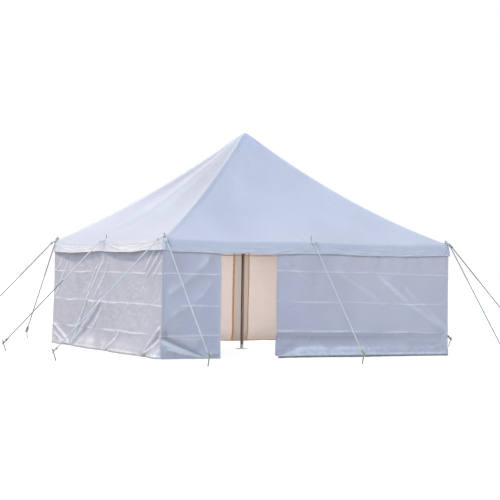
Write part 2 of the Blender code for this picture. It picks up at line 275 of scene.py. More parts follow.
def bump(tree, height, strength, distance, normal=None):
    """The normal of a surface raised by height, on top of another normal where one is given."""
    inputs = {"Height": height, "Strength": strength, "Distance": distance}
    if normal is not None:
        inputs["Normal"] = normal
    return add_node(tree, "ShaderNodeBump", inputs).outputs["Normal"]


def let_light_through(tree, shader, output, share, **translucent):
    """Mixes a share of translucent cloth into a material."""
    through = add_node(tree, "ShaderNodeBsdfTranslucent", translucent)
    mixed = add_node(tree, "ShaderNodeMixShader", {0: share, 1: shader.outputs["BSDF"],
                                                   2: through.outputs["BSDF"]})
    tree.links.new(mixed.outputs["Shader"], output.inputs["Surface"])


def cloth_material(name, colour, glow, glow_colour, soil=0.25, gloss=0.32, crinkled=0.45,
                   painted_shading_strength=0.8, toward_x_colour=None):
    """Coated cloth that lets light through, with a weave, crumples and soil near the ground.

    rubbed is how far crests are painted pale as highlight and hollows dark as shade; bleached is its
    colour toward +X.
    """
    material, tree, shader, output = new_material(name)
    place = object_place(tree)
    patches = noise_texture(tree, place, 0.9, 3.0)
    mottle = noise_texture(tree, place, 14.0, 5.0, Roughness=0.62)
    tint = mix_colours(tree, spread(tree, patches, 0.35, 0.65), rgba(colour), rgba(colour, 0.93))
    tint = mix_colours(tree, spread(tree, mottle, 0.5, 0.8, 0.0, 0.5), tint, rgba(colour, 0.90))
    # The colour blends toward another along +X; on the walls it turns paler and pinker.
    if toward_x_colour is not None:
        toward_x = spread(tree, part_of(tree, place, "X"), -0.9, 1.2, 0.0, 0.75)
        tint = mix_colours(tree, toward_x, tint, rgba(toward_x_colour))

    # Painted light: crests of folds are painted pale as highlights and hollows painted dark as shade.
    painted_shading = add_node(tree, "ShaderNodeAttribute", attribute_name="painted_shading").outputs["Fac"]
    pale = spread(tree, painted_shading, 0.10, 0.6, 0.0, painted_shading_strength)
    tint = mix_colours(tree, pale, tint, rgba(PAINTED_HIGHLIGHT))
    painted_hollow_shade = spread(tree, painted_shading, -1.0, -0.15, 0.75 * painted_shading_strength, 0.0)
    tint = mix_colours(tree, painted_hollow_shade, tint, rgba(colour, 0.62))
    uneven = maths(tree, "ADD", part_of(tree, place, "Z"), mottle)
    soiled = spread(tree, uneven, 0.50, 0.66, soil, 0.0)
    tint = mix_colours(tree, soiled, tint, rgba(SOIL))

    flat = add_node(tree, "ShaderNodeUVMap", uv_map="cloth").outputs["UV"]
    threads = [wave_texture(tree, flat, 140.0, 0.4, way) for way in ("X", "Y")]
    weave = maths(tree, "MAXIMUM", *threads)
    crumples = noise_texture(tree, place, 9.0, 6.0, Roughness=0.6, Distortion=0.6)
    crinkles = noise_texture(tree, place, 4.0, 4.0, "RIDGED_MULTIFRACTAL", Roughness=0.55,
                             Distortion=0.4)
    creased = bump(tree, crinkles, crinkled, 0.02)
    rumpled = bump(tree, crumples, 0.35, 0.016, creased)
    feed(tree, shader, {"Base Color": tint, "Normal": bump(tree, weave, 0.25, 0.00005, rumpled),
                        "Roughness": spread(tree, crumples, 0.3, 0.7, gloss, gloss + 0.14),
                        "Specular IOR Level": 0.5, "Sheen Weight": 0.05})
    let_light_through(tree, shader, output, glow, Color=rgba(glow_colour), Normal=rumpled)
    return material


def tape_material(name, colour):
    """Woven tape sewn into the hems."""
    material, tree, shader, output = new_material(name)
    place = object_place(tree)
    grime = spread(tree, noise_texture(tree, place, 22.0, 4.0), 0.35, 0.7)
    ribs = wave_texture(tree, place, 90.0, 0.5, "DIAGONAL")
    feed(tree, shader, {"Base Color": mix_colours(tree, grime, rgba(colour), rgba(colour, 0.6)),
                        "Normal": bump(tree, ribs, 0.5, 0.0006), "Roughness": 0.8})
    let_light_through(tree, shader, output, 0.3, Color=rgba((0.75, 0.50, 0.28)))
    return material


def wood_material(name, colour):
    """Stained wood with a long grain up the pole, soiled toward the foot."""
    material, tree, shader, _ = new_material(name)
    place = object_place(tree)
    long_way = add_node(tree, "ShaderNodeMapping", {"Vector": place, "Scale": (22.0, 22.0, 1.3)})
    grain = noise_texture(tree, long_way.outputs["Vector"], 4.0, 8.0, Roughness=0.65, Distortion=0.8)
    blotch = spread(tree, noise_texture(tree, place, 3.0, 3.0), 0.45, 0.75, 0.0, 0.5)
    soiled = spread(tree, part_of(tree, place, "Z"), 0.0, 0.3, 0.6, 0.0)
    tint = mix_colours(tree, spread(tree, grain, 0.32, 0.68), rgba(colour, 0.45), rgba(colour, 1.9))
    tint = mix_colours(tree, blotch, tint, rgba(colour))
    tint = mix_colours(tree, soiled, tint, rgba(POLE_DIRT))
    feed(tree, shader, {"Base Color": tint, "Normal": bump(tree, grain, 0.5, 0.0015),
                        "Roughness": spread(tree, grain, 0.3, 0.7, 0.45, 0.75)})
    return material


def steel_material(name, colour, rust):
    """Dull galvanised steel with spangle, and rust in patches."""
    material, tree, shader, _ = new_material(name)
    place = object_place(tree)
    cells = add_node(tree, "ShaderNodeTexVoronoi", {"Vector": place, "Scale": 160.0})
    spangle = spread(tree, cells.outputs["Distance"], 0.1, 0.7)
    cloudy = noise_texture(tree, place, 40.0, 6.0)
    rusty = spread(tree, cloudy, 0.62 - rust * 0.25, 0.72)
    tint = mix_colours(tree, spangle, rgba(colour), rgba(colour, 1.25))
    feed(tree, shader, {"Base Color": mix_colours(tree, rusty, tint, rgba(RUST)),
                        "Normal": bump(tree, cloudy, 0.4, 0.0008),
                        "Roughness": spread(tree, rusty, 0.0, 1.0, 0.42, 0.85),
                        "Metallic": spread(tree, rusty, 0.0, 1.0, 0.9, 0.1)})
    return material


def rope_material(name, colour, stain):
    """Fibres of a laid rope, greyed by painted shade and stained toward the ground."""
    material, tree, shader, _ = new_material(name)
    place = object_place(tree)
    fibres = noise_texture(tree, place, 260.0, 4.0)
    patches = spread(tree, noise_texture(tree, place, 7.0, 4.0), 0.45, 0.75, 0.0, 0.5)
    # Painted shade: points of a rope marked for it turn toward dark slate.
    rope_shading = add_node(tree, "ShaderNodeAttribute", attribute_name="painted_rope_shade").outputs["Fac"]
    stained = spread(tree, part_of(tree, place, "Z"), 0.1, 0.55, 0.6, 0.0)
    grey = rgba(colour, 0.72)
    tint = mix_colours(tree, spread(tree, fibres, 0.35, 0.7), rgba(colour), grey)
    tint = mix_colours(tree, patches, tint, grey)
    tint = mix_colours(tree, rope_shading, tint, rgba(ROPE_SHADE_COLOUR))
    feed(tree, shader, {"Base Color": mix_colours(tree, stained, tint, rgba(stain)),
                        "Normal": bump(tree, fibres, 0.6, 0.0006), "Roughness": 0.85})
    return material


def finish(name):
    """The tent's material of that name, made when it is first asked for."""
    if name in bpy.data.materials:
        return bpy.data.materials[name]
    made_of = colours()
    valance = tuple(0.45 * a + 0.55 * b for a, b in zip(made_of.cloth, (0.84, 0.80, 0.81)))
    inside = {"gloss": 0.5, "crinkled": 0.2, "painted_shading_strength": 0.15}
    cloths = {
        "roof_cloth": (made_of.cloth, 0.30, (0.90, 0.91, 0.95),
                       {"soil": 0.0, "gloss": 0.55, "crinkled": 0.08}),
        "valance_cloth": (valance, 0.30, (0.92, 0.91, 0.93),
                          {"soil": 0.0, "gloss": 0.4, "crinkled": 0.2, "painted_shading_strength": 0.9}),
        "wall_cloth": (made_of.wall_cloth, 0.26, (0.95, 0.91, 0.93),
                       {"gloss": 0.26, "painted_shading_strength": 0.9, "toward_x_colour": (0.79, 0.73, 0.77)}),
        "cloth_inside": (made_of.lining, 0.62, (0.98, 0.90, 0.84), inside),
        # A darker copy of the lining, painted as the shade of doubled cloth that lets less light
        # through.
        "cloth_doubled_painted_shade": (rgba(made_of.lining, 0.74)[:3], 0.42, (0.86, 0.74, 0.64), inside),
    }
    steels = {"spike_steel": (rgba(made_of.steel, 0.42)[:3], 0.1),
              "plate_steel": (made_of.steel, 0.1), "stake_steel": (made_of.steel, 0.6)}
    if name in cloths:
        colour, glow, glow_colour, more = cloths[name]
        return cloth_material(name, colour, glow, glow_colour, **more)
    if name in steels:
        return steel_material(name, *steels[name])
    if name == "hem_tape":
        return tape_material(name, made_of.hem_tape)
    if name == "pole_timber":
        return wood_material(name, made_of.wood)
    return rope_material(name, made_of.rope, made_of.grass_stain)


# Cloth surfaces

def rolling_noise(x, y, wavelength, seed, waves=18, stretch=1.0):
    """Smooth random hills of about unit height, as a sum of seeded waves."""
    draw = np.random.default_rng(seed)
    total = np.zeros_like(x)
    for _ in range(waves):
        angle = draw.uniform(0, 2 * math.pi)
        number = 2 * math.pi / (wavelength * draw.uniform(0.7, 1.6))
        phase = draw.uniform(0, 2 * math.pi)
        total += np.sin(number * (x * math.cos(angle) + y * stretch * math.sin(angle)) + phase)
    return total / math.sqrt(waves / 2)


def crumple(x, y, wavelength, seed):
    """Sharp wandering ridges with flat cloth between them, about 0 to 1 high."""
    hills = rolling_noise(x, y, wavelength, seed, waves=14)
    strength = 0.6 + 0.4 * rolling_noise(x, y, wavelength * 3.5, seed + 1, waves=8)
    return np.exp(-np.abs(hills) * 2.4) * np.clip(strength, 0, 1.3)


def smooth_step(value, low, high):
    t = np.clip((value - low) / (high - low), 0, 1)
    return t * t * (3 - 2 * t)


def distance_to_path(x, z, path):
    """Distance from each point to a broken line, how far along it lies, and if it is on the lit side.

    The lit side of the line is the one that faces up and to the left, where the sun stands.
    """
    nearest = np.full(x.shape, 1e9)
    along = np.zeros_like(x)
    lit = np.zeros(x.shape, dtype=bool)
    lengths = [math.dist(a, b) for a, b in zip(path, path[1:])]
    run = 0.0
    for (ax, az), (bx, bz), length in zip(path, path[1:], lengths):
        t = np.clip(((x - ax) * (bx - ax) + (z - az) * (bz - az)) / length ** 2, 0, 1)
        away = np.hypot(x - ax - t * (bx - ax), z - az - t * (bz - az))
        closer = away < nearest
        leftward = (bx - ax) * (z - az) - (bz - az) * (x - ax)
        faces_sun = (bz - az) * 0.58 + (bx - ax) * 0.76
        lit = np.where(closer, leftward * faces_sun > 0, lit)
        nearest = np.where(closer, away, nearest)
        along = np.where(closer, (run + t * length) / sum(lengths), along)
        run += length
    return nearest, along, lit


def tension_fold(x, z, path, height, width, ends=(0.15, 0.15), sharpness=0.65):
    """A taut fold along a path: a broad flank on its lit side and a steep one on the other."""
    away, along, lit = distance_to_path(x, z, path)
    fade = smooth_step(along, 0, ends[0]) * smooth_step(1 - along, 0, ends[1])
    near_width = width * (0.6 + 0.4 * np.sin(math.pi * along))
    steep = np.where(lit, np.exp(-away / (0.9 * near_width)), np.exp(-away / (0.4 * near_width)))
    ridge = sharpness * steep + (1 - sharpness) * np.exp(-(away / near_width) ** 2)
    furrow = np.exp(-(away / (2.4 * near_width)) ** 2)
    return height * fade * (ridge - 0.3 * furrow)


def fan_of_folds(x, z, from_x, from_z, directions, height, reach, width):
    """Folds that spread from one held point; directions are angles from straight down, in degrees."""
    total = np.zeros_like(x)
    for index, direction in enumerate(directions):
        turn = math.radians(direction)
        length = reach * (0.75 + 0.5 * ((index * 7) % 5) / 5)
        path = [(from_x, from_z), (from_x + length * math.sin(turn), from_z - length * math.cos(turn))]
        total += tension_fold(x, z, path, height * (0.7 + 0.6 * ((index * 3) % 4) / 4), width,
                              ends=(0.02, 0.9))
    return total


def scattered_folds(x, z, place, count, slant, height, seed):
    """Short crinkles strewn over a patch; place is (left, right, low, high), slant in degrees."""
    draw = np.random.default_rng(seed)
    total = np.zeros_like(x)
    for _ in range(count):
        at_x, at_z = draw.uniform(place[0], place[1]), draw.uniform(place[2], place[3])
        angle = math.radians(slant + draw.uniform(-22, 22))
        half = draw.uniform(0.08, 0.24)
        path = [(at_x - half * math.cos(angle), at_z - half * math.sin(angle)),
                (at_x + half * math.cos(angle), at_z + half * math.sin(angle))]
        total += tension_fold(x, z, path, height * draw.uniform(0.5, 1.2), 0.018, ends=(0.5, 0.5))
    return total


def storage_crease(x, z, level, height, seed, tilt=0.0):
    """A sharp level crease left by folding the cloth away, stronger in some places."""
    away = z - level - tilt * x - 0.006 * rolling_noise(x, x * 0, 1.1, seed)
    strength = np.clip(0.75 + 0.3 * rolling_noise(x, x * 0, 0.8, seed + 1), 0.25, 1.2)
    above = np.exp(-np.abs(away) / 0.014) * (0.8 + 0.2 * np.exp(-np.abs(away) / 0.08))
    below = 0.75 * np.exp(-np.abs(away) / 0.13) + 0.25 * np.exp(-np.abs(away) / 0.015)
    return height * strength * np.where(away > 0, above, below)


def turned(points, side):
    """Points of the front side turned round to side number side."""
    x, y, z = points[..., 0], points[..., 1], points[..., 2]
    across, back = ((x, y), (-y, x), (-x, -y), (y, -x))[side]
    return np.stack([across, back, z], axis=-1)


def surface_normals(points, wrap):
    """Unit normals of a grid of points, on the side that faces away from the tent's middle."""
    if wrap:
        padded = np.concatenate([points[:, -2:], points, points[:, :2]], axis=1)
        along = np.gradient(padded, axis=1)[:, 2:-2]
    else:
        along = np.gradient(points, axis=1)
    down = np.gradient(points, axis=0)
    normals = np.cross(along, down)
    length = np.linalg.norm(normals, axis=2, keepdims=True)
    normals /= np.maximum(length, 1e-12)
    away = points - np.array([0, 0, 1.0])
    if np.sum(normals * away) < 0:
        normals = -normals
    return normals


# Its result is painted on the cloth as highlights on folds and shade in hollows.
def crests(height, reach=4, full=0.007):
    """How far each point stands above the cloth round it, from -1 in a hollow to 1 on a fold."""
    window = 2 * reach + 1
    padded = np.pad(height, reach, mode="edge")
    rows, columns = height.shape
    total = np.zeros_like(height)
    for down in range(window):
        for right in range(window):
            total += padded[down:down + rows, right:right + columns]
    return np.clip((height - total / window ** 2) / full, -1, 1)


def sheet_mesh(name, points, cut, thickness, wrap=False, inside=None, tip=False, painted_shading=None):
    """A closed sheet from a grid of points of its outer face; cut holds each point's flat place.

    wrap joins the last column to the first, tip closes the first row to a point, and inside gives
    the material number of each inner face.
    """
    rows, columns = points.shape[:2]
    normals = surface_normals(points, wrap)
    if tip:
        normals[0] = (0, 0, 1)
    back = points - normals * thickness
    cells = columns if wrap else columns - 1
    row, column = np.meshgrid(np.arange(rows - 1), np.arange(cells), indexing="ij")
    a = row * columns + column
    b = row * columns + (column + 1) % columns
    quads = np.stack([a, b, b + columns, a + columns], axis=-1).reshape(-1, 4)
    count = rows * columns
    first = points.reshape(-1, 3)[quads[:, 0]]
    across = points.reshape(-1, 3)[quads[:, 2]] - first
    other = points.reshape(-1, 3)[quads[:, 3]] - points.reshape(-1, 3)[quads[:, 1]]
    facing = np.sum(np.cross(across, other) * normals.reshape(-1, 3)[quads[:, 0]])
    outer = quads if facing > 0 else quads[:, ::-1]
    inner = outer[:, ::-1] + count

    borders = []
    if not tip:
        borders.append(np.stack([b[0], a[0]], axis=-1))
    borders.append(np.stack([a[-1] + columns, b[-1] + columns], axis=-1))
    if not wrap:
        borders.append(np.stack([a[:, 0], a[:, 0] + columns], axis=-1))
        borders.append(np.stack([b[:, -1] + columns, b[:, -1]], axis=-1))
    edge = np.concatenate(borders)
    rim = np.stack([edge[:, 0], edge[:, 1], edge[:, 1] + count, edge[:, 0] + count], axis=-1)
    if facing <= 0:
        rim = rim[:, ::-1]

    faces = np.concatenate([outer, inner, rim])
    mesh = bpy.data.meshes.new(name)
    vertices = np.concatenate([points.reshape(-1, 3), back.reshape(-1, 3)])
    mesh.vertices.add(len(vertices))
    mesh.vertices.foreach_set("co", vertices.ravel())
    mesh.loops.add(faces.size)
    mesh.loops.foreach_set("vertex_index", faces.ravel().astype(np.int32))
    mesh.polygons.add(len(faces))
    mesh.polygons.foreach_set("loop_start", np.arange(0, faces.size, 4, dtype=np.int32))
    mesh.polygons.foreach_set("loop_total", np.full(len(faces), 4, dtype=np.int32))
    kinds = np.zeros(len(faces), dtype=np.int32)
    kinds[len(outer):len(outer) + len(inner)] = 1 if inside is None else inside.ravel()
    mesh.polygons.foreach_set("material_index", kinds)
    places = np.concatenate([cut.reshape(-1, 2), cut.reshape(-1, 2)])[faces.ravel()]
    mesh.update(calc_edges=True)
    layer = mesh.uv_layers.new(name="cloth")
    layer.data.foreach_set("uv", places.ravel().astype(np.float32))
    # Painted highlights and shade go on the outer face, turned over on the inner face.
    if painted_shading is not None:
        raised = mesh.attributes.new("painted_shading", "FLOAT", "POINT")
        both_faces = np.concatenate([painted_shading.ravel(), -painted_shading.ravel()])
        raised.data.foreach_set("value", both_faces.astype(np.float32))
    if tip:
        bm = bmesh.new()
        bm.from_mesh(mesh)
        bmesh.ops.remove_doubles(bm, verts=bm.verts[:], dist=1e-5)
        bmesh.ops.dissolve_degenerate(bm, edges=bm.edges[:], dist=1e-7)
        bm.to_mesh(mesh)
        bm.free()
    mesh.validate()
    mesh.shade_smooth()
    mesh.set_sharp_from_angle(angle=math.radians(70))
    return mesh


def put_piece(name, mesh, materials, replaced=()):
    """Adds a finished piece at the origin, rides it on the tent and hides the frame's parts that it
    stands for.
    """
    piece = bpy.data.objects.new(name, mesh)
    bpy.context.scene.collection.objects.link(piece)
    for material in materials:
        mesh.materials.append(finish(material))
    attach(piece, "root")
    if replaced:
        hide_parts(*replaced)
    return piece


# Roof

def hip_height(ratio, corner):
    """Height of the roof on a hip, where ratio is 0 at the tip and 1 at the eave."""
    s = sizes()
    rounding = 0.014
    span = math.sqrt(1 + rounding ** 2) - rounding
    run = (np.sqrt(ratio ** 2 + rounding ** 2) - rounding) / span
    rise = s.roof_peak - s.eave_height
    return s.eave_height + rise * (1 - run - 4 * HIP_SAG[corner] * run * (1 - run))


def roof_base_height(ratio, across, side):
    """Height of the roof as the frame has it, where across is -1 and 1 on the hips of a side."""
    s = sizes()
    left, right = CORNERS[side], CORNERS[(side + 1) % 4]
    on_hips = (hip_height(ratio, left) * (1 - across) + hip_height(ratio, right) * (1 + across)) / 2
    belly = s.face_sag * 6.75 * ratio ** 2 * (1 - ratio) * (1 - across ** 2)
    scallop = s.eave_sag * ratio ** 4 * np.sin(math.pi * across) ** 2
    return on_hips - belly - scallop


def distance_to_hip(ratio, across):
    return ratio * sizes().half_side * (1 - np.abs(across)) / math.sqrt(2)


def roof_detail(ratio, across, side):
    """What the taut cloth adds to the plain roof: ridges on its lines of pull, and ripples."""
    s = sizes()
    x = across * ratio * s.half_side
    y = ratio * s.half_side
    to_hip = distance_to_hip(ratio, across)
    bow = (4 * ratio * (1 - ratio)) ** 0.6
    hip = s.hip_ridge * bow * (1 - np.exp(-(to_hip / 0.032) ** 1.2))
    valley = 0.0015 * bow * np.exp(-((to_hip - 0.065) / 0.03) ** 2)
    middle = MIDDLE_RIDGE[side] * bow * (1 - np.exp(-np.abs(x) / 0.15))
    lobes = MIDDLE_LOBES[side] * s.face_sag * 6.75 * ratio ** 2 * (1 - ratio)
    two_bellies = lobes * ((1 - (2 * np.abs(across) - 1) ** 2) - (1 - across ** 2))
    inner = smooth_step(ratio, 0.02, 0.2)
    ripple = 0.0018 * inner * rolling_noise(x, y, 0.75, 11 + side)
    ripple = ripple + 0.0006 * inner * rolling_noise(x, y, 0.22, 21 + side)
    rays = rolling_noise(across, across * 0, 0.42, 61 + side) * (4 * ratio * (1 - ratio))
    ripple = ripple + ROOF_RAYS[side] * rays
    total = ripple * smooth_step(to_hip, 0, 0.1) - hip - valley - middle - two_bellies
    for pole_x in (-SPIKE_LINE, 0.0, SPIKE_LINE):
        from_pole, from_line = x - pole_x, SPIKE_LINE - y
        away = np.hypot(from_pole, from_line)
        total = total + 0.010 * np.exp(-(away / 0.07) ** 2)
        angle = np.arctan2(from_pole, from_line)
        pleats = np.cos(angle * 9 + side) * np.exp(-away / 0.2) * smooth_step(away, 0.015, 0.07)
        total = total + 0.008 * pleats
    return total


def roof_painted_shading(ratio, across, side):
    """Painted light on the roof: a painted highlight on its hips, painted shade down the left face
    from its tip, and painted light low on that face.
    """
    to_hip = distance_to_hip(ratio, across)
    on_hip = 0.9 * np.exp(-(to_hip / 0.022) ** 2) * smooth_step(ratio, 0.02, 0.15)
    if side != 3:
        return on_hip
    streaks = np.clip(0.5 + 0.5 * rolling_noise(across, across * 0, 0.28, 67), 0, 1.2)
    fade = smooth_step(0.78 - ratio, 0.0, 0.5) * smooth_step(to_hip, 0.02, 0.10)
    return on_hip - (0.40 + 0.80 * streaks) * fade + 0.2 * smooth_step(ratio, 0.55, 0.9)


def shoulder(start_z, slope, turn):
    """Place on the cloth's turn over the eave, where turn is the cloth's angle from level."""
    s = sizes()
    first = np.arctan(slope)
    radius = (s.shoulder_reach - s.shoulder_start) / (1 - np.sin(first))
    now = first + (math.pi / 2 - first) * turn
    out = s.shoulder_start + radius * (np.sin(now) - np.sin(first))
    return out, start_z - radius * (np.cos(first) - np.cos(now)), radius * (now - first)


def roof_height(ratio, across, side):
    """Height of the dressed roof, plain near its tip."""
    plain = roof_base_height(ratio, across, side)
    return np.where(ratio < 0.02, plain, plain + roof_detail(ratio, across, side))


def eave_start(across, side):
    """Height and slope of the roof where it begins to turn down."""
    s = sizes()
    run = 0.01
    ratio = np.full_like(across, s.shoulder_start / s.half_side)
    here = roof_height(ratio, across, side)
    above = roof_height(ratio - run / s.half_side, across, side)
    return here, np.clip((above - here) / run, 0.35, 0.8)


def roof_columns(half_count):
    """Places across a roof face, closer together at the hips and at its middle."""
    t = np.linspace(0, 1, half_count + 1)
    s = 0.62 * t + 0.38 * (1 - np.cos(math.pi * t)) / 2
    return np.concatenate([s - 1, s[1:]])[:-1]


def rounded_corner(points, radius=0.035):
    """Rounds the square plan's four corners."""
    limit = sizes().half_side - radius
    x, y = points[..., 0], points[..., 1]
    over_x, over_y = np.abs(x) - limit, np.abs(y) - limit
    corner = (over_x > 0) & (over_y > 0)
    reach = np.maximum(over_x, over_y)
    length = np.maximum(np.hypot(over_x, over_y), 1e-9)
    out = points.copy()
    out[..., 0] = np.where(corner, np.sign(x) * (limit + over_x * reach / length), x)
    out[..., 1] = np.where(corner, np.sign(y) * (limit + over_y * reach / length), y)
    return out


def make_roof_canopy():
    """One cloth over all four sides, turned down over the eaves."""
    s = sizes()
    half_count = 62
    across = roof_columns(half_count)
    spaced = np.linspace(0, 1, 76)
    turns = np.linspace(0.07, 0.56, 8)
    ratios = (0.85 * spaced + 0.15 * spaced ** 0.5) * s.shoulder_start / s.half_side
    ratios[0] = 0.0
    ring = []
    cuts = []
    raised = []
    for side in range(4):
        r, a = np.meshgrid(ratios, across, indexing="ij")
        # Painted highlights and shade of the roof cloth.
        raised.append(np.concatenate([roof_painted_shading(r, a, side), np.zeros((len(turns), len(across)))]))
        z = roof_height(r, a, side)
        rows = [np.stack([a * r * s.half_side, -r * s.half_side, z], axis=-1)]
        start_z, slope = eave_start(across, side)
        for turn in turns:
            out, height, _ = shoulder(start_z, slope, turn)
            rows.append(np.stack([across * out, -out, height], axis=-1)[None])
        points = np.concatenate(rows)
        ring.append(turned(points, side))
        slope_run = np.linalg.norm(np.diff(points[:, half_count], axis=0), axis=1)
        fall = np.concatenate([[0], np.cumsum(slope_run)])[:, None]
        flat_x = points[..., 0] + side * 6.5
        cuts.append(np.stack([flat_x, np.broadcast_to(fall, flat_x.shape)], axis=-1))
    points = rounded_corner(np.concatenate(ring, axis=1))
    mesh = sheet_mesh("roof_canopy", points, np.concatenate(cuts, axis=1), s.cloth_thickness,
                      wrap=True, tip=True, painted_shading=np.concatenate(raised, axis=1))
    piece = put_piece("roof_canopy", mesh, ["roof_cloth", "cloth_inside"],
                      ["roof_" + side for side in SIDES])
    return piece


def make_crown_cap():
    """Square reinforcing patch sewn over the tip, with its corners on the hips."""
    s = sizes()
    across = roof_columns(12)
    ratios = np.concatenate([[0.0, 0.004, 0.008], np.linspace(0.014, CROWN_REACH, 16)])
    ring = []
    cuts = []
    raised = []
    for side in range(4):
        r, a = np.meshgrid(ratios, across, indexing="ij")
        # Painted highlights and shade of the patch, as on the roof.
        raised.append(roof_painted_shading(r, a, side))
        z = roof_height(r, a, side) + CROWN_LIFT
        z = z - 0.0018 * smooth_step(r, 0.095, CROWN_REACH)
        flat = np.stack([a * r * s.half_side, -r * s.half_side, z], axis=-1)
        ring.append(turned(flat, side))
        cuts.append(np.stack([flat[..., 0], flat[..., 1] * 1.25], axis=-1))
    mesh = sheet_mesh("crown_patch", np.concatenate(ring, axis=1), np.concatenate(cuts, axis=1),
                      CROWN_THICKNESS, wrap=True, tip=True, painted_shading=np.concatenate(raised, axis=1))
    piece = put_piece("crown_patch", mesh, ["roof_cloth", "roof_cloth"], ["crown_cap"])
    return piece


# Valance

def valance_relief(x, fall, side, drop):
    """How far the valance stands out from its plain hang; fall is the depth below its seam."""
    s = sizes()
    z = -fall
    strong = VALANCE_SWAGS[side]
    relief = 0.005 * rolling_noise(x, fall * 2, 0.5, 31 + side) * (fall / drop)
    relief += 0.007 * strong * crumple(x * 0.7, fall * 1.6, 0.20, 41 + side)
    relief += 0.0035 * strong * crumple(x * 0.7, fall * 1.3, 0.09, 45 + side)
    for index, pole_x in enumerate((-s.half_side, 0.0, s.half_side)):
        pull = 1.8 if (side, index) in ((3, 2), (0, 0), (3, 0)) else 1.0
        fan = (-78, -60, -38, -12, 14, 40, 62, 80)
        relief += fan_of_folds(x, z, pole_x, 0.03, fan, 0.009 * pull, 0.34, 0.016)
    for start in (-s.half_side, 0.0):
        q = np.clip((x - start) / s.half_side, 0, 1)
        for index, depth in enumerate((0.38, 0.7, 0.95)):
            curve = drop * (0.10 + depth * 4 * q * (1 - q) * (0.82 + 0.15 * math.sin(side + index)))
            away = fall - curve
            fade = smooth_step(q, 0.02, 0.2) * smooth_step(1 - q, 0.02, 0.2)
            uneven = 1 + 0.6 * np.sin(x * 5 + index * 2)
            swag = (0.006, 0.009, 0.013)[index] * strong * fade * uneven
            relief += swag * (np.exp(-(away / 0.014) ** 2) - 0.4 * np.exp(-(away / 0.04) ** 2))
    return relief


def make_valance():
    """One hanging strip round all four eaves, hemmed along the bottom."""
    s = sizes()
    along = np.linspace(-s.half_side, s.half_side, 341)[:-1]
    rows = np.concatenate([np.linspace(0.0, 0.80, 15), np.linspace(0.845, 1.0, 7)])
    ring = []
    cuts = []
    raised = []
    for side in range(4):
        f, x = np.meshgrid(rows, along, indexing="ij")
        across = x / s.half_side
        start_z, slope = eave_start(across, side)
        _, upright_z, arc = shoulder(start_z, slope, np.ones_like(x))
        arc_left = arc * (1 - VALANCE_SEAM)
        drop = s.valance_drop + 0.004 * rolling_noise(x, x * 0, 0.9, 51 + side)
        drop = drop - LEFT_VALANCE_LIFT * corner_lift(x, side)
        hanging = upright_z - (s.eave_height - drop - s.eave_sag * np.sin(math.pi * across) ** 2)
        fall = f * (arc_left + hanging)
        turn = VALANCE_SEAM + (1 - VALANCE_SEAM) * np.clip(fall / arc_left, 0, 1)
        out, height, _ = shoulder(start_z, slope, turn)
        below = np.maximum(fall - arc_left, 0)
        hem = smooth_step(f, 0.862, 0.875) * 0.0025
        bead = np.exp(-((f - 0.975) / 0.016) ** 2) * 0.003
        held = smooth_step(f, 0.0, 0.25)
        relief = valance_relief(x, fall, side, arc_left + hanging) * held + hem + bead
        tilt = math.pi / 2 * turn
        reach = out - 0.0026 * (1 - held) + relief * np.sin(tilt)
        billow = 1 + VALANCE_BILLOW[side] * np.abs(np.sin(math.pi * across)) ** 0.8
        reach = reach + s.valance_flare * billow * (below / s.valance_drop) ** 1.1
        z = height - below + relief * np.cos(tilt)
        points = np.stack([across * reach, -reach, z], axis=-1)
        ring.append(turned(points, side))
        # Painted light: the left valance is painted paler all over, its lowest band at the hem is
        # painted dark as shade, and its folds get painted highlights and shade.
        painted_valance_light = (0.22 if side == 3 else 0.0) - 0.8 * smooth_step(f, 0.93, 0.965)
        raised.append(crests(relief, reach=3, full=0.006) + painted_valance_light)
        cuts.append(np.stack([x + side * 6.0, f * 0.224], axis=-1))
    points = rounded_corner(np.concatenate(ring, axis=1))
    mesh = sheet_mesh("valance_strip", points, np.concatenate(cuts, axis=1), s.cloth_thickness,
                      wrap=True, painted_shading=np.concatenate(raised, axis=1))
    piece = put_piece("valance_strip", mesh, ["valance_cloth", "cloth_inside"],
                      ["valance_" + side for side in SIDES])
    return piece


def corner_lift(x, side):
    """How much of the lift the valance has where it is bunched up at the near left corner."""
    if side == 3:
        return smooth_step(x, 0.6, 2.7)
    if side == 0:
        return smooth_step(-x, 2.75, 3.0)
    return np.zeros_like(x)


# Walls

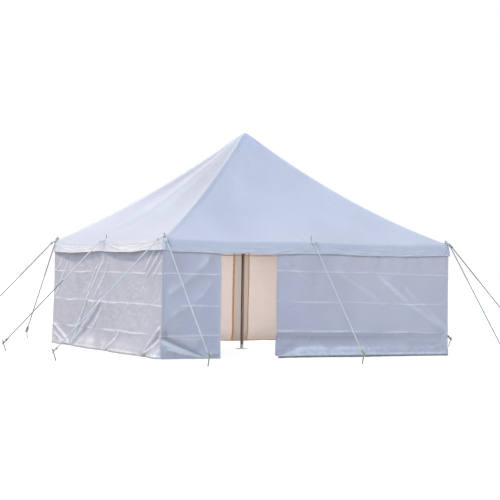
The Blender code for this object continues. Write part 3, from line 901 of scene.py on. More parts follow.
LEFT_WALL_FOLDS = [
    ([(0.05, 2.0), (-0.08, 1.73), (-0.50, 1.36), (-0.78, 1.16)], 0.010, 0.03),
    ([(0.30, 1.85), (0.12, 1.55), (-0.30, 1.20), (-0.60, 0.98)], 0.008, 0.025),
    ([(-0.25, 1.75), (-0.62, 1.42), (-0.95, 1.12)], 0.007, 0.025),
    ([(-0.10, 1.05), (-0.19, 0.94), (-1.0, 0.45), (-1.78, 0.02)], 0.030, 0.040),
    ([(-0.78, 1.16), (-0.96, 0.92), (-1.16, 0.72), (-1.59, 0.30)], 0.018, 0.030),
    ([(-0.04, 0.86), (-0.46, 0.51), (-0.75, 0.30)], 0.012, 0.03),
    ([(-2.45, 1.90), (-2.65, 1.65), (-2.97, 1.50)], 0.008, 0.025),
    ([(-2.05, 1.80), (-2.22, 1.62), (-2.79, 1.12), (-2.97, 0.96)], 0.010, 0.03),
    ([(-2.97, 0.45), (-2.6, 0.30), (-2.1, 0.16), (-1.78, 0.03)], 0.016, 0.04),
    ([(-2.95, 0.24), (-2.5, 0.14), (-1.80, 0.02)], 0.012, 0.03),
    ([(2.98, 2.02), (2.62, 1.74), (2.20, 1.42)], 0.012, 0.025),
    ([(2.70, 2.02), (2.40, 1.80), (2.08, 1.54)], 0.009, 0.022),
    ([(2.98, 1.80), (2.72, 1.60), (2.50, 1.44)], 0.009, 0.022),
    ([(2.99, 0.60), (2.60, 0.32), (2.16, 0.01)], 0.030, 0.04),
    ([(2.97, 0.36), (2.60, 0.18), (2.20, 0.02)], 0.014, 0.03),
    ([(0.95, 0.42), (0.76, 0.27), (0.22, 0.01)], 0.012, 0.03),
    ([(-1.78, 0.02), (-1.55, 0.30), (-1.22, 0.62)], 0.012, 0.03),
]
FRONT_LEFT_FOLDS = [
    ([(-2.95, 0.20), (-2.6, 0.10), (-2.2, 0.05)], 0.014, 0.03),
    ([(-2.02, 1.90), (-2.4, 1.52), (-2.95, 1.10)], 0.014, 0.09),
    ([(-1.95, 1.45), (-2.3, 1.1), (-2.9, 0.72)], 0.010, 0.08),
    ([(-2.13, 0.02), (-2.0, 0.10), (-1.88, 0.10)], 0.010, 0.035),
]
FRONT_RIGHT_FOLDS = [
    ([(0.45, 1.75), (0.64, 1.54), (1.33, 1.14), (1.7, 0.9)], 0.012, 0.09),
    ([(1.3, 1.66), (1.62, 1.39), (2.2, 0.95), (2.9, 0.53), (3.5, 0.20)], 0.020, 0.08),
    ([(1.9, 1.45), (2.21, 1.15), (2.98, 0.56), (3.5, 0.18)], 0.014, 0.06),
    ([(-0.6, 1.80), (-0.25, 1.55), (0.1, 1.35)], 0.009, 0.08),
    ([(2.99, 0.24), (2.85, 0.20), (2.55, 0.16)], 0.012, 0.025),
    ([(-0.7, 0.02), (-0.42, 0.12), (-0.10, 0.17)], 0.014, 0.035),
]


def wall_relief(x, z, start, folds, pegs, seed, side):
    """How far a curtain stands out from its plain hang, its sharp part, and the highlight painted on
    its folds.

    folds are (path, height, width) with the path in (x, z), and pegs are places along the side.
    """
    s = sizes()
    length_way = 0.45 if side == 3 else 0.7
    creasing = 0.0024 * crumple(x * length_way, z, 0.42, seed + 20)
    creasing += 0.0030 * crumple(x * length_way * 0.7, z, 0.17, seed + 22)
    creasing += 0.0012 * crumple(x * length_way * 0.7, z, 0.08, seed + 24)
    creasing *= CRUMPLE_DEPTH[side]
    folded = 0.3 * creasing
    for index, level in enumerate(STORAGE_CREASES):
        tilt = -0.014 if side == 0 and start > -1.5 else 0.0
        raised = level + (0.07 if tilt else 0.0)
        folded = folded + storage_crease(x, z, raised, s.crease_height * CREASE_DEPTH[side],
                                         seed + 5 + index * 3, tilt)
    pulled = np.zeros_like(x)
    for path, height, width in folds:
        pulled += tension_fold(x, z, path, height * FOLD_DEPTH[side], width * FOLD_WIDTH[side],
                               sharpness=FOLD_SHARPNESS[side])
    pulls = (24, 48, 66, -74) if side == 3 else (-62, -35, 8, 38, 64)
    for peg in pegs:
        folded += fan_of_folds(x, -z, peg, -0.01, pulls, 0.006, 0.42, 0.022)
    if side == 3:
        folded += scattered_folds(x, z, (2.0, 2.95, 0.65, 1.85), 22, 42, 0.010, seed + 30)
        folded += scattered_folds(x, z, (-1.2, 0.4, 0.55, 1.85), 26, 46, 0.009, seed + 31)
        folded += scattered_folds(x, z, (-2.9, 2.9, 0.1, 1.9), 40, 30, 0.006, seed + 32)
    elif side == 0:
        folded += scattered_folds(x, z, (-2.9, 2.9, 0.1, 0.5), 16, 10, 0.006, seed + 30)
    relief = folded + pulled + 0.7 * creasing + 0.0035 * rolling_noise(x, z, 0.6, seed)
    hanging = smooth_step(z, 1.2, 1.9) * 0.003
    folded = folded + (0.3 if side == 0 else 1.0) * pulled
    # Painted highlight along the pulled folds on the front and right curtains.
    painted_sheen = 0.21 * np.clip(pulled / 0.016, 0, 1) if side < 2 else 0.0
    return relief + hanging * np.sin(x * 17 + 2 * np.sin(x * 3.1)), folded, painted_sheen


def foot_profile(x, z, side, end, nearest_peg):
    """The curtain's foot: drawn in below the lowest crease, then out to the pegs, then under."""
    if side == 0 and end < 0:
        return slack_valley(x, z, (-3.02, 0.40), (-2.12, 0.03), 0.095)
    if side == 0:
        top = 0.07 + 0.34 * smooth_step(x, -0.74, -0.20) - 0.16 * smooth_step(x, 1.0, 3.0)
        strong = 1.0 - 0.5 * smooth_step(x, 0.8, 2.9)
    else:
        top = 0.36 + 0.05 * np.sin(x * 2.3 + side)
        strong = (0.2 if side == 1 else 0.7) * (1 - 0.8 * np.exp(-(nearest_peg / 0.45) ** 2))
    top = top + 0.012 * rolling_noise(x, x * 0, 0.35, 71 + side)
    drawn_in = -(0.055 if side == 0 else 0.02) * strong * smooth_step(0.50 - z, 0.0, 0.14)
    bulge = 0.19 * strong * (1 - np.clip((z - 0.045) / (top - 0.045), 0, 1)) ** 2.1
    tucked = -(0.085 if side == 0 else 0.03) * strong * (1 - smooth_step(z, 0.0, 0.062))
    return drawn_in + bulge + tucked


def painted_foot_light(x, z):
    """Painted light on the front right foot's bulge, and painted shade above it and under it."""
    ragged = 0.028 * rolling_noise(x, x * 0, 0.5, 77)
    top = 0.09 + 0.13 * smooth_step(x, -0.72, -0.1) - 0.08 * smooth_step(x, 1.2, 2.6) + ragged
    held = 1 - 0.65 * smooth_step(x, 0.5, 1.8)
    bulge = smooth_step(z, 0.02, 0.05) * (1 - smooth_step(z, top - 0.05, top + 0.02))
    above = smooth_step(z, top - 0.02, top + 0.04) * (1 - smooth_step(z, 0.30, 0.50))
    under = 1 - smooth_step(z, 0.012, 0.045)
    return held * (0.52 * bulge - 0.30 * above - 0.85 * under)


def slack_valley(x, z, first, last, depth):
    """Slack cloth pulled in to a slanting line, gently from above it and sharply from below."""
    along = (last[0] - first[0], last[1] - first[1])
    length = math.hypot(*along)
    t = ((x - first[0]) * along[0] + (z - first[1]) * along[1]) / length ** 2
    above = ((z - first[1]) * along[0] - (x - first[0]) * along[1]) / length
    fade = smooth_step(t, -0.1, 0.12) * smooth_step(1 - t, -0.05, 0.25)
    fall = np.where(above > 0, np.exp(-(np.abs(above) / 0.14) ** 1.3), np.exp(-np.abs(above) / 0.03))
    return -depth * fade * fall


def over_poles(outward, x):
    """Holds slack cloth off the eave poles that stand just inside it."""
    for pole_x in (-SPIKE_LINE, 0.0, SPIKE_LINE):
        support = 2.9855 - 0.4 * np.maximum(np.abs(x - pole_x) - 0.022, 0)
        outward = np.maximum(outward, support)
    return outward


def corner_hold(x, side):
    """How much the right front corner holds its walls in, from 0 to 1."""
    if side > 1:
        return np.zeros_like(x)
    to_corner = sizes().half_side - (x if side == 0 else -x)
    return np.exp(-(to_corner / 0.5) ** 2)


def curtain_places(start, end, columns, seen_through):
    """Places across a curtain, from 0 to 1, with extra ones at its hems and at a tape in it."""
    length = end - start
    hem = sizes().hem_width / length
    added = [hem * 0.96, hem * 1.04, 1 - hem * 1.04, 1 - hem * 0.96]
    if seen_through is not None:
        added += [(seen_through + way * HALF_TAPE - start) / length for way in (-1, 1)]
    return np.unique(np.concatenate([np.linspace(0, 1, columns + 1), added]))


def curtain_levels(rows):
    """Heights of a curtain's points, from 0 to 1, closer together at its foot and its creases."""
    marks = (0.16, 0.37, 0.47, 0.91, 1.01, 1.48, 1.58, *TAPE_LEVELS, LEVELS_TOP)
    fine = CREASE_ROWS_PER_METRE
    rates = (rows, fine, rows, fine, rows, fine, rows, 1, rows)
    levels = [np.linspace(0.0, marks[0], 15)[:-1]]
    for low, high, per_metre in zip(marks, marks[1:], rates):
        levels.append(np.linspace(low, high, 2 + int((high - low) * per_metre))[:-1])
    return np.concatenate([*levels, [LEVELS_TOP]]) / LEVELS_TOP


def curtain_painted_shading(x, z, side, end, folded, foot, painted_sheen):
    """Painted highlights and shade on a curtain: on its folds, at its foot and down the left wall."""
    shown = PAINTED_FOLD_SHADING[side] * crests(folded, full=0.0055) + crests(foot, full=0.012) + painted_sheen
    if side == 0 and end > 0:
        shown = shown + painted_foot_light(x, z)
    if side == 3:
        # On the left wall, painted shade grows toward the top under the valance, and painted light
        # toward the foot.
        shown = np.where(shown < 0, 0.5 * shown, shown) - 0.42 * smooth_step(z, 1.2, 1.95)
        pale = 0.6 + 0.4 * rolling_noise(x, z, 0.5, 79)
        shown = shown + 0.24 * pale * (1 - smooth_step(z, 0.10, 0.55))
    return shown


def curtain_inside(along, up, start, length, tape_edges, seen_through):
    """Material numbers of a curtain's inner faces: 1 for lining, 2 for tape, 3 for doubled cloth
    painted darker as shade.
    """
    inside = np.ones((along.shape[0] - 1, along.shape[1] - 1), dtype=np.int32)
    if not tape_edges:
        return inside
    band = 0.5 * (along[:-1, :-1] + along[1:, 1:]) * length
    height = 0.5 * LEVELS_TOP * (up[:-1, :-1] + up[1:, 1:])
    taped = (height < FOOT_TAPE_TOP) | ((height > TAPE_LEVELS[0]) & (height < TAPE_LEVELS[1]))
    if "start" in tape_edges:
        taped |= band < sizes().tape_width
    if "end" in tape_edges:
        taped |= band > length - sizes().tape_width
    if seen_through is not None:
        inside = np.where(band + start > seen_through, 3, inside)
        taped |= np.abs(band + start - seen_through) < HALF_TAPE
    return np.where(taped, 2, inside)


def make_curtain(name, node, side, start, end, folds, pegs, seed, step_in=0.0, columns=200,
                 rows=31, tape_edges=(), seen_through=None):
    """One wall curtain, hemmed all round and held at its pegs.

    start and end are its edges along the side, and tape_edges names those with tape inside them.
    seen_through is where the edge of the curtain behind it shows, with doubled cloth, painted darker
    as shade, from there on.
    """
    s = sizes()
    length = end - start
    places = curtain_places(start, end, columns, seen_through)
    up, along = np.meshgrid(curtain_levels(rows)[::-1], places, indexing="ij")
    x = start + along * length
    if side == 0 and end > 0:
        up = np.where(up * LEVELS_TOP > 0.05, up + 0.026 * np.sin(math.pi * up) * (up < 1), up)
    top = roof_base_height(np.full_like(x, 0.998), np.clip(x / s.half_side, -1, 1), side) - 0.028
    nearest_peg = np.min([np.abs(x - peg) for peg in pegs], axis=0)
    lowest = 0.0025 + 0.005 * (1 - np.exp(-(nearest_peg / 0.45) ** 2))
    lowest = lowest + 0.002 * np.abs(rolling_noise(x, x * 0, 0.35, seed + 9))
    z = lowest + (top - lowest) * up
    above_hem = z - lowest
    from_start, from_end = x - start, end - x
    from_edge = np.minimum(from_start, from_end)

    relief, folded, painted_sheen = wall_relief(x, z, start, folds, pegs, seed, side)
    foot = foot_profile(x, z, side, end, nearest_peg)
    # Painted shade along the curtain's edges and along its foot at the ground.
    painted_edge_shade = 1 - smooth_step(from_edge, 0.0, 0.022)
    painted_ground_shade = 1 - smooth_step(above_hem, 0.004, 0.020)
    painted_shading = curtain_painted_shading(x, z, side, end, folded, foot, painted_sheen)
    painted_shading = np.clip(painted_shading - 0.55 * np.maximum(painted_edge_shade, painted_ground_shade), -1, 1)

    relief = (relief + foot) * (1 - smooth_step(z, 1.93, 2.06))
    at_corner_left = abs(start) >= s.half_side
    at_corner_right = abs(end) >= s.half_side
    if at_corner_left:
        relief = relief * smooth_step(from_start, -0.02, 0.10)
    if at_corner_right:
        relief = relief * smooth_step(from_end, -0.02, 0.10)
    side_hem = 1 - smooth_step(from_edge, s.hem_width * 0.97, s.hem_width * 1.03)
    foot_hem = 1 - smooth_step(above_hem, 0.035, 0.04)
    hem = HEM_THICKNESS * np.maximum(side_hem, foot_hem)
    flare = WALL_FLARE - CORNER_FLARE_LOSS * corner_hold(x, side)
    outward = s.half_side - WALL_INSET - step_in + flare * (1 - up) ** 2
    outward = over_poles(outward + relief + hem, x)

    waver = 0.003 * rolling_noise(z, z * 0, 0.9, seed + 12)
    pushed_out = outward - s.half_side - (0.0 if side % 2 == 0 else SIDE_TUCK)
    if at_corner_left:
        x = x - pushed_out * np.exp(-from_start / 0.1)
    else:
        x = x + waver * np.exp(-from_start / 0.15)
    if at_corner_right:
        x = x + pushed_out * np.exp(-from_end / 0.1)
    else:
        x = x + waver * np.exp(-from_end / 0.15)
    points = turned(np.stack([x, -outward, z], axis=-1), side)
    cut = np.stack([start + along * length + side * 6.5, z], axis=-1)
    inside = curtain_inside(along, up, start, length, tape_edges, seen_through)
    mesh = sheet_mesh(name, points, cut, s.cloth_thickness, inside=inside, painted_shading=painted_shading)
    piece = put_piece(name, mesh, ["wall_cloth", "cloth_inside", "hem_tape", "cloth_doubled_painted_shade"],
                      [node])
    return piece


def make_curtains():
    """The six wall curtains; the back right one hangs inside the back left one's edge."""
    s = sizes()
    half = s.half_side
    made = [
        make_curtain("curtain_front_left", "wall_front_left", 0, -half, s.door_left,
                     FRONT_LEFT_FOLDS, (-3.0, -2.13), 101, columns=76, rows=48),
        make_curtain("curtain_front_right", "wall_front_right", 0, s.door_right, half,
                     FRONT_RIGHT_FOLDS, (-0.70, 1.1, 2.95), 202, columns=224, rows=48),
        make_curtain("curtain_left", "wall_left", 3, -half, half, LEFT_WALL_FOLDS,
                     (-2.95, -1.78, 0.22, 2.12), 303, columns=320, rows=50),
        make_curtain("curtain_right", "wall_right", 1, -half, half,
                     [(path, height * 0.7, width) for path, height, width in FRONT_RIGHT_FOLDS],
                     (-2.9, -1.0, 1.1, 2.9), 404, columns=180),
        make_curtain("curtain_back_left", "wall_back_left", 2, -1.56, half,
                     [], (-2.9, -1.3, 0.2, 1.6, 2.9), 505, columns=180, tape_edges=("start",)),
        make_curtain("curtain_back_right", "wall_back_right", 2, -half, -1.17,
                     [], (-2.9, -1.3, 0.2, 1.6, 2.9), 505, step_in=0.0085, columns=90,
                     tape_edges=("end",), seen_through=-1.56),
    ]
    return made


# Poles

def lathe_mesh(name, profile, segments, place=(0, 0)):
    """A profile of (radius, height, material) points spun about an upright axis at place."""
    bm = bmesh.new()
    rings = []
    for radius, height, _ in profile:
        if radius == 0:
            rings.append([bm.verts.new((place[0], place[1], height))])
            continue
        ring = []
        for step in range(segments):
            angle = 2 * math.pi * step / segments
            ring.append(bm.verts.new((place[0] + radius * math.cos(angle),
                                      place[1] + radius * math.sin(angle), height)))
        rings.append(ring)
    for lower, upper, point in zip(rings, rings[1:], profile[1:]):
        for step in range(segments):
            after = (step + 1) % segments
            corners = [lower[step % len(lower)], lower[after % len(lower)],
                       upper[after % len(upper)], upper[step % len(upper)]]
            unique = list(dict.fromkeys(corners))
            if len(unique) > 2:
                face = bm.faces.new(unique)
                face.material_index = point[2]
    bmesh.ops.recalc_face_normals(bm, faces=bm.faces[:])
    mesh = bpy.data.meshes.new(name)
    bm.to_mesh(mesh)
    bm.free()
    mesh.shade_smooth()
    mesh.set_sharp_from_angle(angle=math.radians(40))
    return mesh


def pole_place(name):
    """Centre of an eave pole on the ground, and the height of its spike's tip."""
    low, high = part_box("eave_pole_" + name)
    return (low[0] + high[0]) / 2, (low[1] + high[1]) / 2, high[2]


def spike_roof(name):
    """Height of the roof at a pole's spike."""
    x, y, _ = pole_place(name)
    ratio = max(abs(x), abs(y)) / sizes().half_side
    if name in CORNERS:
        return float(roof_base_height(ratio, -1.0, CORNERS.index(name)))
    return float(roof_base_height(ratio, 0.0, SIDES.index(name.split("_")[0])))


def worked_shaft(radius, low, high, steps, unevenness, pace):
    """Points of a wooden shaft between two heights, a little uneven from the plane."""
    return [(radius + unevenness * math.sin(step * pace), low + (high - low) * step / steps, 0)
            for step in range(1, steps)]


def make_eave_poles():
    """Wooden poles with a steel ferrule and spike at the top and a shoe at the foot."""
    for name in POLES:
        x, y, tip = pole_place(name)
        top = spike_roof(name) - 0.014
        profile = [(0, 0.0, 1), (0.0195, 0.0, 1), (0.0208, 0.004, 1), (0.0208, 0.055, 1),
                   (0.0200, 0.056, 1), (0.0198, 0.06, 0)]
        profile += worked_shaft(0.0198, 0.06, top - 0.10, 12, 0.0002, 2.1)
        profile += [(0.0198, top - 0.075, 0), (0.0208, top - 0.074, 1), (0.0208, top - 0.006, 1),
                    (0.0196, top - 0.001, 1), (0.0180, top, 1), (0.0068, top + 0.0005, 1),
                    (0.0068, tip - 0.016, 1), (0.0060, tip - 0.006, 1), (0.0040, tip - 0.0015, 1),
                    (0, tip, 1)]
        mesh = lathe_mesh("timber_pole_" + name, profile, 32, (x, y))
        put_piece("timber_pole_" + name, mesh, ["pole_timber", "spike_steel"],
                  ["eave_pole_" + name])


def make_centre_pole():
    """The king pole in two lengths, joined by a steel sleeve, with its head and foot."""
    low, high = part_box("centre_pole")
    socket_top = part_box("centre_pole_foot")[1][2]
    head_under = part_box("centre_pole_head")[0][2]
    low_turning, high_turning = socket_top + 0.012, head_under - 0.012
    wood, tenon = KING_POLE_RADIUS, KING_POLE_TENON
    profile = [(0, low[2], 0), (tenon, low[2], 0), (tenon, low_turning - 0.004, 0),
               (wood - 0.0002, low_turning, 0)]
    profile += worked_shaft(wood, low_turning, 2.02, 24, 0.0003, 1.7)
    profile += [(wood, 2.05, 0), (0.0325, 2.051, 1), (0.0330, 2.054, 1), (0.0330, 2.347, 1),
                (0.0325, 2.350, 1), (wood, 2.351, 0)]
    profile += worked_shaft(wood, 2.36, high_turning, 24, 0.0003, 2.3)
    profile += [(wood - 0.0002, high_turning, 0), (tenon, high_turning + 0.004, 0),
                (tenon, high[2], 0), (0, high[2], 0)]
    mesh = lathe_mesh("king_pole", profile, 48)
    put_piece("king_pole", mesh, ["pole_timber", "spike_steel"], ["centre_pole"])
    for node in ("centre_pole_head", "centre_pole_foot"):
        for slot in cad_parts[node].material_slots:
            slot.material = finish("plate_steel")


# Guy ropes and stakes

RopePlaces = namedtuple("RopePlaces", "side spike down_roof upper_knot lower_knot stake leg pitch")


def rope_places(side_name, end):
    """Places of one rope in the front side's frame: its eyes and knots, its leg and its pitch."""
    s = sizes()
    side = SIDES.index(side_name)
    left, right = side_ends(side)
    lateral = {left: -SPIKE_LINE, "middle": 0.0, right: SPIKE_LINE}[end]
    across = lateral / SPIKE_LINE
    ratio = SPIKE_LINE / s.half_side
    at_spike = float(roof_base_height(ratio, across, side))
    uphill = float(roof_base_height(0.96, across, side))
    pitch = math.atan((uphill - at_spike) / (s.half_side * (ratio - 0.96)))
    lift = s.rope_radius / math.cos(pitch) + (EYE_STACK if end == right else 0.0)
    spike = Vector((lateral, -SPIKE_LINE, at_spike + lift))
    down_roof = Vector((0, -math.cos(pitch), -math.sin(pitch)))
    upper_knot = spike + down_roof * UPPER_KNOT_RUN
    stake = Vector((lateral, -(s.half_side + s.rope_reach), STAKE_EYE_HEIGHT))
    leg = (stake - upper_knot).normalized()
    lower_knot = stake - leg * LOWER_KNOT_RUN
    return RopePlaces(side, spike, down_roof, upper_knot, lower_knot, stake, leg, pitch)


def half_turn(centre, start, middle, steps=12):
    """Points half way round a centre, from start past middle; both are offsets from the centre."""
    return [centre + start * math.cos(math.pi * i / steps) + middle * math.sin(math.pi * i / steps)
            for i in range(steps + 1)]


def rope_route(rope):
    """Points along a rope: round the spike, through both knots and round the stake."""
    upper_knot, lower_knot, leg = rope.upper_knot, rope.lower_knot, rope.leg
    radius = sizes().rope_radius
    across = Vector((1, 0, 0))
    beside = across * radius * 1.12
    spike_eye = (SPIKE_RADIUS + radius) / math.cos(rope.pitch) + EYE_GAP
    tilt = math.atan(leg.z / leg.y) - STAKE_LEAN
    stake_eye = (STAKE_RADIUS + radius) / math.cos(tilt) + EYE_GAP
    points = [upper_knot + leg * 0.035 + beside * 0.6, upper_knot + beside]
    points += half_turn(rope.spike, across * spike_eye, -rope.down_roof * spike_eye)
    points += [upper_knot - beside, upper_knot + leg * 0.03 - beside * 0.5, upper_knot + leg * 0.06]
    for step in range(1, 40):
        points.append(upper_knot.lerp(lower_knot, 0.03 + 0.94 * step / 40))
    points += [lower_knot - leg * 0.03, lower_knot - beside]
    points += half_turn(rope.stake, -across * stake_eye, leg * stake_eye)
    points += [lower_knot + beside, lower_knot - leg * 0.03 + beside * 1.5,
               lower_knot - leg * 0.07 + beside * 1.7]
    return points


def laid_rope_tree():
    """Geometry nodes that sweep a lobed section along a curve and twist it as strands are laid."""
    tree = bpy.data.node_groups.new("laid_rope", "GeometryNodeTree")
    wanted = (("Curve", "Geometry", None), ("Radius", "Float", 0.0065), ("Lay", "Float", 0.06),
              ("Strands", "Int", 3), ("Spacing", "Float", 0.007), ("Material", "Material", None))
    for name, kind, default in wanted:
        kind = "NodeSocket" + kind
        socket = tree.interface.new_socket(name, in_out="INPUT", socket_type=kind)
        if default is not None:
            socket.default_value = default
    tree.interface.new_socket("Rope", in_out="OUTPUT", socket_type="NodeSocketGeometry")
    given = tree.nodes.new("NodeGroupInput").outputs

    spaced = add_node(tree, "GeometryNodeResampleCurve",
                      {"Curve": given["Curve"], "Length": given["Spacing"]}, mode="LENGTH")
    run = add_node(tree, "GeometryNodeSplineParameter").outputs["Length"]
    tilt = maths(tree, "MULTIPLY", maths(tree, "DIVIDE", run, given["Lay"]), 2 * math.pi)
    twisted = add_node(tree, "GeometryNodeSetCurveTilt",
                       {"Curve": spaced.outputs[0], "Tilt": tilt})

    corners = 12
    section = add_node(tree, "GeometryNodeCurvePrimitiveCircle",
                       {"Resolution": corners, "Radius": given["Radius"]})
    number = add_node(tree, "GeometryNodeInputIndex").outputs[0]
    strand_angle = maths(tree, "MULTIPLY", number, given["Strands"])
    half_angle = maths(tree, "MULTIPLY", strand_angle, math.pi / corners)
    lobe = maths(tree, "ABSOLUTE", maths(tree, "COSINE", half_angle))
    scale = spread(tree, lobe, 0.0, 1.0, 0.78, 1.0)
    where = add_node(tree, "GeometryNodeInputPosition").outputs[0]
    lobed = add_node(tree, "ShaderNodeVectorMath", {0: where, "Scale": scale}, operation="SCALE")
    shaped = add_node(tree, "GeometryNodeSetPosition",
                      {"Geometry": section.outputs["Curve"], "Position": lobed.outputs["Vector"]})
    swept = add_node(tree, "GeometryNodeCurveToMesh", {"Curve": twisted.outputs[0], "Fill Caps": True,
                                                      "Profile Curve": shaped.outputs[0]})
    real = add_node(tree, "GeometryNodeRealizeInstances", {"Geometry": swept.outputs[0]})
    done = add_node(tree, "GeometryNodeSetMaterial",
                    {"Geometry": real.outputs[0], "Material": given["Material"]})
    add_node(tree, "NodeGroupOutput", {"Rope": done.outputs[0]})
    return tree


def set_inputs(modifier, tree, values):
    """Sets a geometry nodes modifier's inputs by the names that its tree gives them."""
    for item in tree.interface.items_tree:
        if item.item_type == "SOCKET" and item.in_out == "INPUT" and item.name in values:
            modifier[item.identifier] = values[item.name]


def grown_mesh(name, base, tree, values):
    """The plain mesh that a geometry nodes tree grows on base, which is then removed."""
    grower = bpy.data.objects.new(name + "_grower", base)
    bpy.context.scene.collection.objects.link(grower)
    modifier = grower.modifiers.new("grow", "NODES")
    modifier.node_group = tree
    set_inputs(modifier, tree, values)
    bpy.context.view_layer.update()
    graph = bpy.context.evaluated_depsgraph_get()
    mesh = bpy.data.meshes.new_from_object(grower.evaluated_get(graph))
    bpy.data.objects.remove(grower, do_unlink=True)
    mesh.name = name
    return mesh


def route_curve(name, points):
    curve = bpy.data.curves.new(name, "CURVE")
    curve.dimensions = "3D"
    spline = curve.splines.new("POLY")
    spline.points.add(len(points) - 1)
    for point, place in zip(spline.points, points):
        point.co = (*place, 1.0)
    return curve


def turn_mesh(mesh, side):
    mesh.transform(Matrix.Rotation(side * math.pi / 2, 4, "Z"))


def weld(mesh, distance=1e-6):
    """Joins the caps of swept tubes to their walls and turns all faces outward."""
    bm = bmesh.new()
    bm.from_mesh(mesh)
    bmesh.ops.remove_doubles(bm, verts=bm.verts[:], dist=distance)
    bmesh.ops.recalc_face_normals(bm, faces=bm.faces[:])
    bm.to_mesh(mesh)
    bm.free()


def whipping_points(knot, along, radius, turns=4, pitch=0.011, steps=14):
    """Points of a cord wound round a rope, centred on the knot."""
    side_way = Vector((1, 0, 0))
    upward = along.cross(side_way).normalized()
    points = []
    for step in range(turns * steps + 1):
        angle = 2 * math.pi * step / steps
        shift = (step / steps - turns / 2) * pitch
        wide = side_way * math.cos(angle) * radius * 1.35
        points.append(knot + along * shift + wide + upward * math.sin(angle) * radius)
    return points


def paint_rope_shade(mesh, side_name, end):
    """Marks how much painted shade greys each point of a rope; the near left middle rope is greyed
    only low down.
    """
    eave = sizes().half_side + 0.02
    rope_shading = mesh.attributes.new("painted_rope_shade", "FLOAT", "POINT")
    rope_shade_amount = ROPE_PAINTED_SHADE.get((side_name, end), ROPE_SHADE_DEFAULT)
    for value, vert in zip(rope_shading.data, mesh.vertices):
        below = (side_name, end) == ("left", "middle") and vert.co.z < 1.36
        run = min(1.0, max(0.0, (-vert.co.y - eave) / 0.2))
        value.value = (ROPE_SHADE_DEFAULT if below else rope_shade_amount) * (0.3 + 0.7 * run)


def make_guy_ropes():
    """Twelve laid ropes, each with its two knots whipped with a cord."""
    s = sizes()
    tree = laid_rope_tree()
    fibres = finish("rope_fibres")
    given = {"Lay": s.rope_lay, "Strands": s.strand_count, "Material": fibres}
    for side_name, end in ROPE_PLACES:
        rope = rope_places(side_name, end)
        name = f"laid_rope_{side_name}_{end}"
        given.update({"Radius": s.rope_radius, "Spacing": 0.0115})
        parts = [grown_mesh(name, route_curve(name, rope_route(rope)), tree, given)]
        given.update({"Radius": KNOT_CORD_RADIUS, "Spacing": 0.0075})
        for knot in (rope.upper_knot, rope.lower_knot - rope.leg * 0.01):
            wound = route_curve(name, whipping_points(knot, rope.leg, KNOT_RADIUS))
            parts.append(grown_mesh(name + "_whipping", wound, tree, given))
        bm = bmesh.new()
        for part in parts:
            bm.from_mesh(part)
        joined = bpy.data.meshes.new(name)
        bm.to_mesh(joined)
        bm.free()
        weld(joined)
        joined.shade_smooth()
        paint_rope_shade(joined, side_name, end)
        turn_mesh(joined, rope.side)
        put_piece(name, joined, ["rope_fibres"], [f"guy_rope_{side_name}_{end}"])


def make_ground_stakes():
    """Round steel pins that lean away from the tent, their heads spread by the hammer."""
    profile = [(0, 0.0, 0), (0.0108, 0.0, 0), (0.0109, 0.05, 0), (0.0108, 0.10, 0), (0.0109, 0.15, 0),
               (0.0109, 0.190, 0), (0.0118, 0.195, 0), (0.0150, 0.1985, 0), (0.0178, 0.2020, 0),
               (0.0182, 0.2055, 0), (0.0165, 0.2088, 0), (0.0120, 0.2100, 0), (0.0060, 0.2096, 0),
               (0, 0.2093, 0)]
    s = sizes()
    for side_name, end in ROPE_PLACES:
        rope = rope_places(side_name, end)
        name = f"steel_stake_{side_name}_{end}"
        mesh = lathe_mesh(name, profile, 28)
        for vert in mesh.vertices:
            lean = (vert.co.z - STAKE_EYE_HEIGHT) * math.tan(STAKE_LEAN)
            vert.co.y -= lean + s.half_side + s.rope_reach
            vert.co.x += rope.stake.x
        turn_mesh(mesh, rope.side)
        put_piece(name, mesh, ["stake_steel"], [f"ground_stake_{side_name}_{end}"])


# Stage

# The camera's turn to the right, tilt up and lean in degrees, its lens in millimetres and its place.
CAMERA_TURNS = (25.52, 0.519, 0.8285)
CAMERA_LENS = 115.04
CAMERA_PLACE = (-13.863, -29.359, 1.716)


def build_camera():
    """Stands the camera where the photograph was taken, at eye height and a little off level."""
    yaw, pitch, roll = (math.radians(angle) for angle in CAMERA_TURNS)
    ahead = Vector((math.sin(yaw), math.cos(yaw), 0))
    forward = math.cos(pitch) * ahead + Vector((0, 0, math.sin(pitch)))
    level = Vector((math.cos(yaw), -math.sin(yaw), 0))
    upright = level.cross(forward)
    right = math.cos(roll) * level + math.sin(roll) * upright
    up = -math.sin(roll) * level + math.cos(roll) * upright
    data = bpy.data.cameras.new("photo_camera")
    data.lens = CAMERA_LENS
    data.sensor_width = 36.0
    data.clip_end = 300.0
    camera = bpy.data.objects.new("photo_camera", data)
    bpy.context.scene.collection.objects.link(camera)
    turn = Matrix((right, up, -forward)).transposed()
    camera.matrix_world = Matrix.Translation(CAMERA_PLACE) @ turn.to_4x4()
    bpy.context.scene.camera = camera


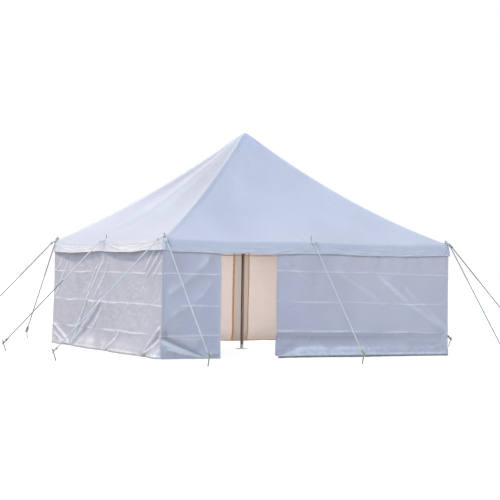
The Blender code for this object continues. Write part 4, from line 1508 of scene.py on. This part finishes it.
def build_floor():
    """A plain pale floor that throws back little light onto the walls."""
    mesh = bpy.data.meshes.new("studio_floor")
    corners = [(x * 150, y * 150, -0.001) for x, y in ((-1, -1), (1, -1), (1, 1), (-1, 1))]
    mesh.from_pydata(corners, [], [(0, 1, 2, 3)])
    floor = bpy.data.objects.new("studio_floor", mesh)
    bpy.context.scene.collection.objects.link(floor)
    material, tree, shader, output = new_material("studio_floor")
    feed(tree, shader, {"Base Color": (0.34, 0.34, 0.33, 1), "Roughness": 0.9,
                        "Specular IOR Level": 0.1})
    seen = add_node(tree, "ShaderNodeLightPath").outputs["Is Camera Ray"]
    pale = add_node(tree, "ShaderNodeEmission", {"Color": (1, 1, 1, 1), "Strength": 0.86})
    lit = add_node(tree, "ShaderNodeAddShader", {0: shader.outputs["BSDF"], 1: pale.outputs[0]})
    mixed = add_node(tree, "ShaderNodeMixShader", {0: seen, 1: shader.outputs["BSDF"],
                                                   2: lit.outputs[0]})
    tree.links.new(mixed.outputs[0], output.inputs["Surface"])
    mesh.materials.append(material)


def add_sun(name, toward, strength, softness, colour):
    data = bpy.data.lights.new(name, "SUN")
    data.energy = strength
    data.angle = math.radians(softness)
    data.color = colour
    sun = bpy.data.objects.new(name, data)
    bpy.context.scene.collection.objects.link(sun)
    sun.matrix_world = Vector(toward).to_track_quat("Z", "Y").to_matrix().to_4x4()


def build_light():
    """A pale blue sky all round and a soft sun from behind on the left."""
    world = bpy.data.worlds.new("studio_sky")
    world.use_nodes = True
    tree = world.node_tree
    sky = tree.nodes["Background"]
    sky.inputs["Color"].default_value = (0.60, 0.75, 1.0, 1)
    sky.inputs["Strength"].default_value = 0.62
    white = add_node(tree, "ShaderNodeBackground", {"Color": (1, 1, 1, 1), "Strength": 1.0})
    seen = add_node(tree, "ShaderNodeLightPath").outputs["Is Camera Ray"]
    mixed = add_node(tree, "ShaderNodeMixShader", {0: seen, 1: sky.outputs[0], 2: white.outputs[0]})
    tree.links.new(mixed.outputs[0], tree.nodes["World Output"].inputs["Surface"])
    bpy.context.scene.world = world
    add_sun("soft_sun", (-0.52, 0.42, 0.74), 2.25, 6, (1.0, 0.82, 0.60))
    add_sun("front_fill", (-0.60, -0.75, 0.27), 2.1, 35, (0.72, 0.85, 1.0))
    data = bpy.data.lights.new("inside_fill", "AREA")
    data.shape = "RECTANGLE"
    data.size, data.size_y = 2.4, 1.6
    data.spread = math.radians(60)
    data.energy = 38.0
    data.color = (1.0, 0.95, 0.91)
    lamp = bpy.data.objects.new("inside_fill", data)
    bpy.context.scene.collection.objects.link(lamp)
    lamp.matrix_world = Matrix.Translation((1.2, -2.75, 1.0)) @ Matrix.Rotation(math.pi / 2, 4, "X")

    bpy.context.scene.view_settings.view_transform = "Standard"


# Operators

class MARQUEE_OT_roof_canopy(Operator):
    """Roof cloth over all four sides, turned down at the eaves"""

    bl_idname = "marquee.roof_canopy"
    bl_label = "Roof Canopy"

    def execute(self, context):
        make_roof_canopy()
        return {"FINISHED"}


class MARQUEE_OT_crown_patch(Operator):
    """Reinforcing patch over the tip of the roof"""

    bl_idname = "marquee.crown_patch"
    bl_label = "Crown Patch"

    def execute(self, context):
        make_crown_cap()
        return {"FINISHED"}


class MARQUEE_OT_valance(Operator):
    """Hemmed valance that hangs from the eaves"""

    bl_idname = "marquee.valance"
    bl_label = "Valance"

    def execute(self, context):
        make_valance()
        return {"FINISHED"}


class MARQUEE_OT_curtains(Operator):
    """Wall curtains, with their storage creases, pulled folds and hems"""

    bl_idname = "marquee.curtains"
    bl_label = "Wall Curtains"

    def execute(self, context):
        make_curtains()
        return {"FINISHED"}


class MARQUEE_OT_poles(Operator):
    """Wooden eave poles with spikes, and the centre pole"""

    bl_idname = "marquee.poles"
    bl_label = "Poles"

    def execute(self, context):
        make_eave_poles()
        make_centre_pole()
        return {"FINISHED"}


class MARQUEE_OT_guy_ropes(Operator):
    """Laid guy ropes, from the spikes to the stakes"""

    bl_idname = "marquee.guy_ropes"
    bl_label = "Guy Ropes"

    def execute(self, context):
        make_guy_ropes()
        return {"FINISHED"}


class MARQUEE_OT_ground_stakes(Operator):
    """Steel stakes that hold the guy ropes"""

    bl_idname = "marquee.ground_stakes"
    bl_label = "Ground Stakes"

    def execute(self, context):
        make_ground_stakes()
        return {"FINISHED"}


class MARQUEE_OT_stage(Operator):
    """Floor, soft light and the camera"""

    bl_idname = "marquee.stage"
    bl_label = "Stage"

    def execute(self, context):
        build_camera()
        build_floor()
        build_light()
        return {"FINISHED"}


STEPS = (
    MARQUEE_OT_stage,
    MARQUEE_OT_roof_canopy,
    MARQUEE_OT_crown_patch,
    MARQUEE_OT_valance,
    MARQUEE_OT_curtains,
    MARQUEE_OT_poles,
    MARQUEE_OT_guy_ropes,
    MARQUEE_OT_ground_stakes,
)


class MARQUEE_PT_tent(Panel):
    """Sizes, colours and steps of the marquee tent"""

    bl_idname = "MARQUEE_PT_tent"
    bl_label = "Marquee Tent"
    bl_space_type = "VIEW_3D"
    bl_region_type = "UI"
    bl_category = "Marquee"

    def draw(self, context):
        layout = self.layout
        for group in (context.scene.marquee_sizes, context.scene.marquee_colours):
            box = layout.box()
            for name in group.__annotations__:
                box.prop(group, name)
        for step in STEPS:
            layout.operator(step.bl_idname)


def register():
    for item in (MarqueeSizes, MarqueeColours, *STEPS, MARQUEE_PT_tent):
        bpy.utils.register_class(item)
    bpy.types.Scene.marquee_sizes = PointerProperty(type=MarqueeSizes)
    bpy.types.Scene.marquee_colours = PointerProperty(type=MarqueeColours)


def unregister():
    del bpy.types.Scene.marquee_sizes
    del bpy.types.Scene.marquee_colours
    for item in reversed((MarqueeSizes, MarqueeColours, *STEPS, MARQUEE_PT_tent)):
        bpy.utils.unregister_class(item)


def main():
    register()
    for step in STEPS:
        group, name = step.bl_idname.split(".")
        getattr(getattr(bpy.ops, group), name)()


if __name__ == "__main__":
    main()
